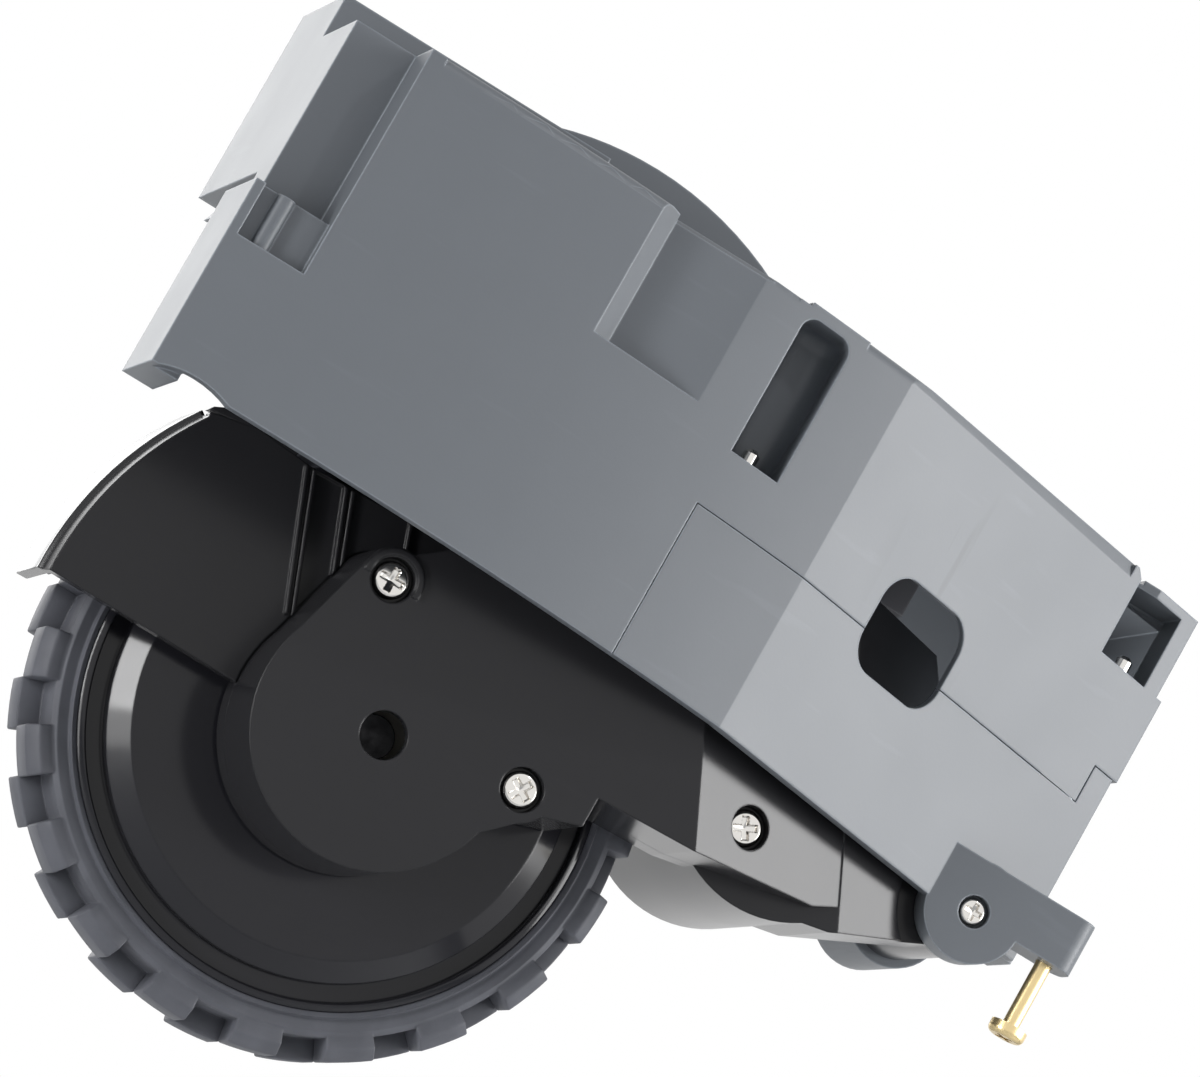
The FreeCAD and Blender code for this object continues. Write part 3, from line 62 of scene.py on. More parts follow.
# Lamps: name, direction from the middle of the part, distance, width and height in metres, watts
MIDDLE = Vector((-0.055, -0.01, -0.01))
LAMPS = (
    ("Key", (0.25, -0.69, 0.71), 1.2, 0.07, 0.07, 1.2),
    ("Right", (0.95, -0.25, 0.18), 1.0, 0.5, 0.5, 5.4),
    ("Right front", (0.74, -0.65, 0.18), 1.0, 0.4, 0.4, 1.5),
    ("Right high", (0.85, -0.2, 0.49), 1.0, 0.3, 0.3, 2.7),
    ("Left strip", (-0.911, -0.406, -0.074), 0.89, 0.18, 0.42, 3.6),
    ("Left low", (-0.81, -0.48, -0.34), 0.89, 0.26, 0.3, 1.5),
    ("Low", (-0.32, -0.54, -0.78), 1.0, 0.75, 0.6, 2.8),
    ("Back", (-0.24, 0.96, 0.2), 1.0, 0.4, 0.4, 1.0),
)
# Fill lamp behind the port: place and watts
BAY_FILL_AT = AXLE + Vector((64.0, 8.0, 41.0)) * MM
BAY_FILL_WATTS = 0.022
# Light that the surroundings give
WORLD_COLOUR = (0.95, 0.97, 1.0, 1.0)
WORLD_STRENGTH = 0.27

# The floor lies well below the part, because the camera looks up at it; half its side, height and look
FLOOR_HALF = 1.4
FLOOR_HEIGHT = -0.45
FLOOR_COLOUR = (0.86, 0.87, 0.88, 1.0)
FLOOR_ROUGHNESS = 0.9
# Glow that only the camera sees, so that the floor is pale in every view
FLOOR_GLOW = 0.5

# Where the bent wall is thin over the corner screw's bore: centre and half size
THIN_WALL = (AXLE + Vector((75.5, 1.5, 44.0)) * MM, Vector((3.0, 4.0, 6.0)) * MM)
# Scuffs on the bent wall: their middle above the port, and how far they are full and where they end
PORT_SCUFFS = AXLE + Vector((49.5, -14.0, 47.5)) * MM
SCUFFS_FULL = 0.006
SCUFFS_END = 0.014

# Painted highlight on an edge goes from full to none between these cosines of softened and plain normal
EDGE_HIGHLIGHT_FULL = 0.86
EDGE_PLAIN = 0.998
# Painted shade in recesses of metal: how far they are felt, and the openness from dark to clear
RECESS_REACH = 0.0016
RECESS_DARK = 0.5
RECESS_CLEAR = 0.95
# How much lighter or darker than its base each mark, painted highlight and painted shade is
MOTTLE = 0.03
RUBBED_SHADE = 1.35
# Painted highlight along softened edges, lighter than the base
EDGE_HIGHLIGHT_SHADE = 2.4
SCUFF_SHADE = 0.7
TARNISH_SHADE = 0.72
# Painted shade deep in recesses of metal
RECESS_PAINTED_SHADE = 0.06
DUST_SHADE = 1.9
# How strongly scuffs and dust cover the base
SCUFF_COVER = 0.5
DUST_COVER = 0.35

# Softening radius of plated metal and of rubber
METAL_ROUND = 0.00012
RUBBER_ROUND = 0.0003
# Edges sharper than this stay sharp in the shading
SHARP_ANGLE = math.radians(32.0)

# Profiles below are closed, as (radius, y) in millimetres from the axle point
TYRE_PROFILE = (
    (30.4, 0.6), (31.0, 0.2), (31.3, 0.9), (32.6, 0.5), (33.3, 0.9), (33.3, 13.6), (31.9, 14.0), (30.4, 13.4),
)
TYRE_STEPS = 180
# Lugs: foot radius, length against half their pitch, steps of their arc and edge radius
LUG_FOOT = 32.7
LUG_SHARE = 1.04
LUG_STEPS = 4
LUG_ROUND = 0.25
# Each row's profile: y of its near foot, points as (depth below the lug's top, y), y of its far foot
NEAR_ROW = (0.8, ((1.4, 0.3), (0.0, 1.8), (0.0, 7.2)), 7.2)
FAR_ROW = (7.3, ((0.0, 7.3), (0.0, 12.7), (1.2, 14.2)), 13.7)
# Edges of a lug sharper than this are rounded
LUG_EDGE = math.radians(30)

HUB_PROFILE = (
    (2.5, -2.0), (24.7, -2.0), (27.2, 0.0), (27.2, 1.8), (29.3, 1.8), (29.4, 0.3), (29.6, 0.1), (30.2, 0.3),
    (30.4, 0.5), (30.4, 13.4), (28.8, 13.4), (28.8, 3.6), (25.6, 3.6), (23.8, -0.2), (6.0, -0.2), (6.0, 12.0),
    (2.5, 12.0),
)
HUB_STEPS = 160
# Spokes: outline as (x, y), half thickness, edge radius and number
SPOKE_OUTLINE = ((5.5, -0.6), (24.0, -0.6), (26.0, 2.6), (29.2, 2.6), (29.2, 11.0), (5.5, 11.0))
SPOKE_HALF = 0.7
SPOKE_ROUND = 0.2
SPOKES = 6

# Guard band: profile, where it starts and ends about the axle, and steps of its arc
BAND_PROFILE = ((39.2, -4.0), (40.55, -4.0), (40.6, -3.7), (40.6, 7.6), (40.5, 7.9), (39.3, 7.9), (39.2, 7.6))
BAND_START = math.radians(145.0)
BAND_END = math.radians(182.26)
BAND_STEPS = 48
# Upper corner of the guard's plate: outline as (x, z), and its near and far faces
GUARD_CORNER = ((-33.2, 23.1), (-32.8, 23.7), (-30.5, 24.85), (-22.0, 25.0), (-22.0, 23.0), (-27.0, 23.9))
GUARD_CORNER_Y = (-7.58, -5.6)

# Screws, in millimetres: middle of each head's top from the axle point, and each kind's head radius,
# head height, shank radius and length
COVER_SCREW_TOPS = ((-7.7, -19.6, 15.4), (16.6, -19.6, 2.8), (42.3, -13.5, 13.2))
COVER_SCREW = (2.15, 1.5, 1.08, 8.4)
# Turn from one cover screw's cross to the next, in radians
COVER_SCREW_TURN = 0.55
PIVOT_SCREW_TOPS = ((72.7, -2.7, 20.4),)
PIVOT_SCREW = (1.55, 1.2, 0.88, 2.25)
SCREW_STEPS = 96
HEAD_RINGS = 26
# Domed head, as shares of its radius: where its rounded rim starts, and drops of the rim and of the crown
RIM_START = 0.74
RIM_DROP = 0.28
CROWN_DROP = 0.06
# Cross recess: reach and half width as shares of the head's radius, run of its ends and sides in millimetres
CROSS_REACH = 0.62
CROSS_HALF = 0.17
CROSS_END_RUN = 0.12
CROSS_SIDE_RUN = 0.1
# Depth of the cross as a share of the head's height, and how much shallower its ends are
CROSS_DEPTH = 0.62
CROSS_RISE = 0.4

# Tips of the captive screws above their floors: x, y, foot and top from the axle point, and body
SCREW_TIPS = (
    (19.65, -24.62, 46.0, 48.2, "slot_fastener"),
    (76.05, 5.67, 54.8, 56.6, "corner_fastener"),
)
TIP_STEPS = 24
# Radius of a tip, radius of its point and length of its taper
TIP_RADIUS = 0.98
TIP_POINT = 0.5
TIP_TAPER = 0.5

# Colours that no property changes, as linear values
FIXED_COLOURS = {
    "dark_plastic": (0.02, 0.02, 0.023),
    "acetal": (0.62, 0.6, 0.54),
    "nickel": (0.4, 0.355, 0.32),
    "blackened": (0.03, 0.03, 0.032),
    "steel": (0.5, 0.5, 0.51),
    "bronze": (0.42, 0.3, 0.19),
    "ferrite": (0.04, 0.04, 0.043),
}
BOARD_GREEN = (0.01, 0.09, 0.035)
BOARD_TRACK = (0.02, 0.16, 0.06)


class ModuleSizes(bpy.types.PropertyGroup):
    """Sizes of the pieces that are made here."""

    tread_radius: bpy.props.FloatProperty(
        name="Tread radius", description="Radius over the lugs", default=0.036, min=0.03, max=0.036,
        unit="LENGTH")
    lug_count: bpy.props.IntProperty(
        name="Lugs per row", description="Lugs in each of the two rows", default=20, min=8, max=40)
    lug_phase: bpy.props.FloatProperty(
        name="Lug phase", description="Turn of the near row of lugs", default=math.radians(4.1),
        unit="ROTATION")
    edge_round: bpy.props.FloatProperty(
        name="Edge rounding", description="Radius that softens the moulded edges", default=0.00035, min=0.0,
        max=0.001, unit="LENGTH")


class ModuleColours(bpy.types.PropertyGroup):
    """Colours of the finishes, as linear values."""

    housing: bpy.props.FloatVectorProperty(
        name="Housing", description="Moulded grey of both housing shells", subtype="COLOR", size=3,
        default=(0.13, 0.142, 0.158), min=0.0, max=1.0)
    arm: bpy.props.FloatVectorProperty(
        name="Gear case", description="Glossy black of the swinging arm", subtype="COLOR", size=3,
        default=(0.018, 0.018, 0.02), min=0.0, max=1.0)
    hub: bpy.props.FloatVectorProperty(
        name="Hub", description="Black of the wheel's hub", subtype="COLOR", size=3,
        default=(0.014, 0.014, 0.017), min=0.0, max=1.0)
    tyre: bpy.props.FloatVectorProperty(
        name="Tyre", description="Slate grey of the tyre", subtype="COLOR", size=3,
        default=(0.085, 0.088, 0.102), min=0.0, max=1.0)
    brass: bpy.props.FloatVectorProperty(
        name="Brass", description="Captive screw of the ear", subtype="COLOR", size=3,
        default=(0.62, 0.5, 0.3), min=0.0, max=1.0)


def sizes():
    return bpy.context.scene.wheel_module_sizes


def colours():
    return bpy.context.scene.wheel_module_colours


class Wiring:
    """A node tree under construction."""

    def __init__(self, tree):
        self.tree = tree

    def node(self, kind, **values):
        made = self.tree.nodes.new(kind)
        for key, value in values.items():
            setattr(made, key, value)
        return made

    def link(self, out, to):
        self.tree.links.new(out, to)


class Finish(Wiring):
    """A material under construction: object coordinates, one shader and helpers that add to it."""

    def __init__(self, name):
        self.material = bpy.data.materials.new(name)
        self.material.use_nodes = True
        super().__init__(self.material.node_tree)
        self.shader = next(n for n in self.tree.nodes if n.type == "BSDF_PRINCIPLED")
        self.place = self.node("ShaderNodeTexCoord").outputs["Object"]
        self.normal = None

    def mapping(self, scale=(1, 1, 1), turn=(0, 0, 0)):
        mapped = self.node("ShaderNodeMapping")
        mapped.inputs["Scale"].default_value = scale
        mapped.inputs["Rotation"].default_value = turn
        self.link(self.place, mapped.inputs["Vector"])
        return mapped.outputs["Vector"]

    def noise(self, scale, detail=3.0, vector=None):
        made = self.node("ShaderNodeTexNoise")
        made.inputs["Scale"].default_value = scale
        made.inputs["Detail"].default_value = detail
        self.link(vector or self.place, made.inputs["Vector"])
        return made.outputs["Fac"]

    def spread(self, value, low, high, to_low, to_high):
        """The value's range from low to high, laid out from to_low to to_high and held there."""
        made = self.node("ShaderNodeMapRange")
        made.inputs["From Min"].default_value = low
        made.inputs["From Max"].default_value = high
        made.inputs["To Min"].default_value = to_low
        made.inputs["To Max"].default_value = to_high
        self.link(value, made.inputs["Value"])
        return made.outputs["Result"]

    def mix(self, factor, first, second, kind="RGBA"):
        """From the first to the second, each a colour or a socket."""
        made = self.node("ShaderNodeMix", data_type=kind)
        for name, value in (("A", first), ("B", second)):
            socket = next(s for s in made.inputs if s.name == name and s.type == kind)
            if hasattr(value, "is_output"):
                self.link(value, socket)
            else:
                socket.default_value = tuple(value)[:3] + (1.0,)
        self.link(factor, made.inputs["Factor"])
        return next(s for s in made.outputs if s.type == kind)

    def times(self, first, second):
        made = self.node("ShaderNodeMath", operation="MULTIPLY")
        self.link(first, made.inputs[0])
        self.link(second, made.inputs[1])
        return made.outputs[0]

    def set(self, **values):
        for name, value in values.items():
            self.shader.inputs[name.replace("_", " ")].default_value = value

    def within(self, centre, half):
        """1 inside the box with that centre and half size, and 0 outside it."""
        parts = self.node("ShaderNodeSeparateXYZ")
        self.link(self.place, parts.inputs["Vector"])
        masks = []
        for axis in range(3):
            near = self.node("ShaderNodeMath", operation="COMPARE")
            self.link(parts.outputs[axis], near.inputs[0])
            near.inputs[1].default_value = centre[axis]
            near.inputs[2].default_value = half[axis]
            masks.append(near.outputs[0])
        return self.times(self.times(masks[0], masks[1]), masks[2])

    def away_from(self, place):
        """Distance from a place on the piece."""
        made = self.node("ShaderNodeVectorMath", operation="DISTANCE")
        self.link(self.place, made.inputs[0])
        made.inputs[1].default_value = place
        return made.outputs["Value"]

    def round_edges(self, radius, flat=None):
        """Softens edges; a box in flat, as its centre and half size, keeps its plain face."""
        made = self.node("ShaderNodeBevel", samples=6)
        made.inputs["Radius"].default_value = radius
        self.normal = made.outputs["Normal"]
        if flat:
            plain = self.node("ShaderNodeNewGeometry").outputs["Normal"]
            self.normal = self.mix(self.within(*flat), self.normal, plain, "VECTOR")

    def edges(self):
        """From 0 on a flat face to 1 on a softened edge."""
        dot = self.node("ShaderNodeVectorMath", operation="DOT_PRODUCT")
        self.link(self.normal, dot.inputs[0])
        self.link(self.node("ShaderNodeNewGeometry").outputs["True Normal"], dot.inputs[1])
        return self.spread(dot.outputs["Value"], EDGE_HIGHLIGHT_FULL, EDGE_PLAIN, 1.0, 0.0)

    def openness(self):
        """From 0 deep in a recess to 1 in the open."""
        made = self.node("ShaderNodeAmbientOcclusion", samples=8, only_local=True)
        made.inputs["Distance"].default_value = RECESS_REACH
        return self.spread(made.outputs["AO"], RECESS_DARK, RECESS_CLEAR, 0.0, 1.0)

    def bump(self, height, strength, distance):
        made = self.node("ShaderNodeBump")
        made.inputs["Strength"].default_value = strength
        made.inputs["Distance"].default_value = distance
        self.link(height, made.inputs["Height"])
        if self.normal is not None:
            self.link(self.normal, made.inputs["Normal"])
        self.normal = made.outputs["Normal"]

    def done(self):
        if self.normal is not None:
            self.link(self.normal, self.shader.inputs["Normal"])
        return self.material


def shade(colour, factor):
    """A lighter or darker colour."""
    return tuple(min(1.0, c * factor) for c in colour[:3])


def scuffed(finish, tint, colour):
    """Adds dark, drawn-out scuffs to a tint, near one place of the bent wall."""
    drawn_out = finish.mapping(scale=(1.0, 1.0, 0.12), turn=(0.0, 0.5, 0.0))
    lines = finish.noise(scale=420.0, detail=2.0, vector=drawn_out)
    scuff = finish.spread(lines, 0.6, 0.68, 0.0, SCUFF_COVER)
    near = finish.spread(finish.away_from(PORT_SCUFFS), SCUFFS_FULL, SCUFFS_END, 1.0, 0.0)
    return finish.mix(finish.times(near, scuff), tint, shade(colour, SCUFF_SHADE))


def moulded(name, colour, roughness, grain=0.06, marks=0.25, specular=0.5, edge_highlight=0.0):
    """Moulded plastic: faint mottling, fine grain, softened edges, a few rubbed marks and, where asked,
    scuffs and a painted highlight along its edges.
    """
    finish = Finish(name)
    finish.set(Specular_IOR_Level=specular)
    finish.round_edges(sizes().edge_round, THIN_WALL if edge_highlight else None)
    cloud = finish.noise(scale=140.0, detail=4.0)
    mottled = finish.mix(cloud, shade(colour, 1.0 - MOTTLE), shade(colour, 1.0 + MOTTLE))
    streaky = finish.mapping(scale=(1.0, 1.0, 9.0), turn=(0.3, 0.5, 0.2))
    rubbed = finish.spread(finish.noise(scale=55.0, detail=2.0, vector=streaky), 0.66, 0.74, 0.0, marks)
    tint = finish.mix(rubbed, mottled, shade(colour, RUBBED_SHADE))
    if edge_highlight:
        tint = scuffed(finish, tint, colour)
        # Painted highlight: softened edges are painted lighter than the face
        edge_highlight_mask = finish.spread(finish.edges(), 0.0, 1.0, 0.0, edge_highlight)
        tint = finish.mix(edge_highlight_mask, tint, shade(colour, EDGE_HIGHLIGHT_SHADE))
    finish.link(tint, finish.shader.inputs["Base Color"])
    rough = finish.spread(finish.noise(scale=90.0), 0.3, 0.7, roughness * 0.97, roughness * 1.03)
    finish.link(rough, finish.shader.inputs["Roughness"])
    finish.bump(finish.noise(scale=2600.0, detail=2.0), strength=grain, distance=0.0001)
    return finish.done()


def metal(name, colour, roughness, brushed=(1.0, 1.0, 1.0)):
    """Plated or drawn metal with fine lines, slight tarnish and painted shade in its recesses."""
    finish = Finish(name)
    finish.set(Metallic=1.0)
    finish.round_edges(METAL_ROUND)
    dull = finish.mix(finish.noise(scale=420.0, detail=4.0), shade(colour, TARNISH_SHADE), colour)
    # Painted shade: recesses of metal are painted darker
    tint = finish.mix(finish.openness(), shade(colour, RECESS_PAINTED_SHADE), dull)
    finish.link(tint, finish.shader.inputs["Base Color"])
    lines = finish.noise(scale=900.0, vector=finish.mapping(scale=brushed))
    rough = finish.spread(lines, 0.3, 0.7, roughness * 0.8, roughness * 1.3)
    finish.link(rough, finish.shader.inputs["Roughness"])
    finish.bump(lines, strength=0.12, distance=0.00005)
    return finish.done()


def rubber(name, colour, roughness):
    """Dusty rubber with a fine moulded grain."""
    finish = Finish(name)
    finish.set(Specular_IOR_Level=0.35)
    finish.round_edges(RUBBER_ROUND)
    dust = finish.spread(finish.noise(scale=170.0, detail=5.0), 0.42, 0.72, 0.0, DUST_COVER)
    finish.link(finish.mix(dust, colour, shade(colour, DUST_SHADE)), finish.shader.inputs["Base Color"])
    rough = finish.spread(finish.noise(scale=60.0), 0.3, 0.7, roughness * 0.9, roughness * 1.1)
    finish.link(rough, finish.shader.inputs["Roughness"])
    finish.bump(finish.noise(scale=1500.0), strength=0.12, distance=0.00012)
    return finish.done()


def board_finish(name):
    """Green circuit board with lighter tracks."""
    finish = Finish(name)
    finish.set(Roughness=0.35)
    tracks = finish.noise(scale=260.0, detail=0.0, vector=finish.mapping(scale=(1.0, 4.0, 1.0)))
    tint = finish.mix(finish.spread(tracks, 0.5, 0.54, 0.0, 1.0), BOARD_GREEN, BOARD_TRACK)
    finish.link(tint, finish.shader.inputs["Base Color"])
    return finish.done()


def finish_for(name):
    """The finish with that name, made the first time that it is asked for."""
    known = bpy.data.materials.get(name)
    if known:
        return known
    c = colours()
    makers = {
        # The housing gets a painted highlight along its edges
        "housing_plastic": lambda n: moulded(n, c.housing, 0.4, marks=0.2, edge_highlight=0.9),
        "arm_plastic": lambda n: moulded(n, c.arm, 0.22, grain=0.02, marks=0.12, specular=0.27),
        "hub_plastic": lambda n: moulded(n, c.hub, 0.12, grain=0.0, marks=0.1, specular=0.3),
        "dark_plastic": lambda n: moulded(n, FIXED_COLOURS[n], 0.45),
        "acetal": lambda n: moulded(n, FIXED_COLOURS[n], 0.4, marks=0.05),
        "tyre_rubber": lambda n: rubber(n, c.tyre, 0.55),
        "nickel": lambda n: metal(n, FIXED_COLOURS[n], 0.14),
        "brass": lambda n: metal(n, c.brass, 0.22),
        "blackened": lambda n: metal(n, FIXED_COLOURS[n], 0.5),
        "steel": lambda n: metal(n, FIXED_COLOURS[n], 0.3, brushed=(1.0, 0.1, 1.0)),
        "bronze": lambda n: metal(n, FIXED_COLOURS[n], 0.45),
        "ferrite": lambda n: moulded(n, FIXED_COLOURS[n], 0.7),
        "board": board_finish,
    }
    return makers[name](name)


NODE_FINISH = {
    "upper_housing": "housing_plastic",
    "lower_cover": "housing_plastic",
    "retract_sensor": "dark_plastic",
    "sensor_board": "board",
    "pivot_pin": "steel",
    "pivot_screw": "nickel",
    "ear_screw": "brass",
    "suspension_spring": "steel",
    "slot_screw": "nickel",
    "corner_screw": "nickel",
    "gearbox_case": "arm_plastic",
    "gearbox_cover": "arm_plastic",
    "cover_screws": "nickel",
    "gear_pins": "steel",
    "output_bush": "bronze",
    "pivot_bushes": "bronze",
    "motor_can": "steel",
    "motor_magnets": "ferrite",
    "motor_endbell": "dark_plastic",
    "motor_rear_cover": "arm_plastic",
    "encoder_board": "board",
    "rotor_core": "steel",
    "motor_shaft": "steel",
    "motor_pinion": "bronze",
    "gear_one": "acetal",
    "gear_two": "acetal",
    "gear_three": "acetal",
    "output_gear": "acetal",
    "output_shaft": "blackened",
    "wheel_hub": "hub_plastic",
    "hub_washer": "steel",
    "hub_screw": "nickel",
    "tyre": "tyre_rubber",
}


def new_piece(name, made, finish, body, replaced=None):
    """Makes a bmesh a finished piece, which rides on a body and may stand for a node."""
    mesh = bpy.data.meshes.new(name)
    made.to_mesh(mesh)
    made.free()
    mesh.materials.clear()
    mesh.materials.append(finish_for(finish))
    mesh.polygons.foreach_set("material_index", [0] * len(mesh.polygons))
    mesh.polygons.foreach_set("use_smooth", [True] * len(mesh.polygons))
    mesh.set_sharp_from_angle(angle=SHARP_ANGLE)
    piece = bpy.data.objects.new(name, mesh)
    bpy.context.scene.collection.objects.link(piece)
    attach(piece, body)
    if replaced:
        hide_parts(replaced)


def skin(made, rings, joined=False, capped=True):
    """Faces between rings of points; joined ties the last ring to the first, capped closes both ends."""
    pairs = list(zip(rings, rings[1:]))
    if joined:
        pairs.append((rings[-1], rings[0]))
    for near, far in pairs:
        for i, point in enumerate(near):
            j = (i + 1) % len(near)
            made.faces.new((point, near[j], far[j], far[i]))
    if capped and not joined:
        made.faces.new(rings[0])
        made.faces.new(list(reversed(rings[-1])))


def wheel_ring(made, profile, turn, centre=AXLE):
    """Points of a (radius, y) profile in millimetres, turned about the wheel's axis."""
    return [made.verts.new(centre + Vector((r * math.cos(turn), y, -r * math.sin(turn))) * MM)
            for r, y in profile]


def plate(made, outline, place):
    """A flat plate: place gives each corner of the outline on the near face (0) and the far face (1)."""
    skin(made, [[made.verts.new(place(*corner, side)) for corner in outline] for side in (0, 1)])


def circle(radius, steps):
    """Points round a circle, as pairs."""
    turns = [2 * math.pi * i / steps for i in range(steps)]
    return [(radius * math.cos(turn), radius * math.sin(turn)) for turn in turns]


def spun(profile, steps):
    """A closed profile turned right round the wheel's axis."""
    made = bmesh.new()
    rings = [wheel_ring(made, profile, 2 * math.pi * step / steps) for step in range(steps)]
    skin(made, rings, joined=True)
    bmesh.ops.recalc_face_normals(made, faces=made.faces)
    return made


def wheel_slice(profile, arc):
    """One lug: a closed profile swept through a small arc, its edges rounded."""
    made = bmesh.new()
    turns = [arc * (step / LUG_STEPS - 0.5) for step in range(LUG_STEPS + 1)]
    skin(made, [wheel_ring(made, profile, turn, Vector()) for turn in turns])
    bmesh.ops.recalc_face_normals(made, faces=made.faces)
    sharp = [e for e in made.edges if e.calc_face_angle(0.0) > LUG_EDGE]
    bmesh.ops.bevel(made, geom=sharp, offset=LUG_ROUND * MM, segments=2, affect="EDGES", profile=0.5)
    return made


def as_object(made, name):
    """A bmesh as an object in the scene."""
    mesh = bpy.data.meshes.new(name)
    made.to_mesh(mesh)
    made.free()
    holder = bpy.data.objects.new(name, mesh)
    bpy.context.scene.collection.objects.link(holder)
    return holder


def join_into(target, source):
    """Adds the source bmesh to the target and frees it."""
    mesh = bpy.data.meshes.new("part")
    source.to_mesh(mesh)
    source.free()
    target.from_mesh(mesh)
    bpy.data.meshes.remove(mesh)


class Repeat(Wiring):
    """A geometry node tree that sets turned copies on points, makes them real and gives them a finish."""

    def __init__(self, name, finish, **inputs):
        super().__init__(bpy.data.node_groups.new(name, "GeometryNodeTree"))
        sockets = self.tree.interface
        sockets.new_socket("Geometry", in_out="INPUT", socket_type="NodeSocketGeometry")
        self.names = {}
        for label, kind in inputs.items():
            made = sockets.new_socket(label, in_out="INPUT", socket_type="NodeSocket" + kind)
            self.names[label] = made.identifier
        sockets.new_socket("Geometry", in_out="OUTPUT", socket_type="NodeSocketGeometry")
        self.given = self.node("NodeGroupInput").outputs
        self.index = self.node("GeometryNodeInputIndex").outputs[0]
        self.finish = finish

    def copy(self, points, shape, turn):
        """Ends the tree with the shape on each point, turned about Y."""
        angle = self.node("ShaderNodeCombineXYZ")
        copies = self.node("GeometryNodeInstanceOnPoints")
        real = self.node("GeometryNodeRealizeInstances")
        paint = self.node("GeometryNodeSetMaterial")
        paint.inputs["Material"].default_value = self.finish
        end = self.node("NodeGroupOutput")
        self.link(turn, angle.inputs["Y"])
        self.link(points, copies.inputs["Points"])
        self.link(shape, copies.inputs["Instance"])
        self.link(angle.outputs["Vector"], copies.inputs["Rotation"])
        self.link(copies.outputs["Instances"], real.inputs["Geometry"])
        self.link(real.outputs["Geometry"], paint.inputs["Geometry"])
        self.link(paint.outputs["Geometry"], end.inputs["Geometry"])

    def made_of(self, holder, **values):
        """What the tree makes of an object with those inputs, as a plain bmesh; the object goes."""
        modifier = holder.modifiers.new(self.tree.name, "NODES")
        modifier.node_group = self.tree
        for label, value in values.items():
            modifier[self.names[label]] = value
        bpy.context.view_layer.update()
        seen = holder.evaluated_get(bpy.context.evaluated_depsgraph_get())
        result = bpy.data.meshes.new_from_object(seen)
        holder.modifiers.remove(modifier)
        bpy.data.objects.remove(holder)
        made = bmesh.new()
        made.from_mesh(result)
        bpy.data.meshes.remove(result)
        return made


def ring_of(shape, finish, count, phase):
    """A shape repeated about the wheel's axis, the first turned by the phase."""
    ring = Repeat("Ring", finish_for(finish), Count="Int", Phase="Float", Centre="Vector")
    line = ring.node("GeometryNodeMeshLine")
    line.inputs["Offset"].default_value = (0, 0, 0)
    share = ring.node("ShaderNodeMath", operation="DIVIDE")
    turn = ring.node("ShaderNodeMath", operation="MULTIPLY_ADD")
    turn.inputs[1].default_value = 2 * math.pi
    ring.link(ring.given["Count"], line.inputs["Count"])
    ring.link(ring.given["Centre"], line.inputs["Start Location"])
    ring.link(ring.index, share.inputs[0])
    ring.link(ring.given["Count"], share.inputs[1])
    ring.link(share.outputs[0], turn.inputs[0])
    ring.link(ring.given["Phase"], turn.inputs[2])
    ring.copy(line.outputs["Mesh"], ring.given["Geometry"], turn.outputs[0])
    return ring.made_of(as_object(shape, "repeat"), Count=count, Phase=phase, Centre=tuple(AXLE))


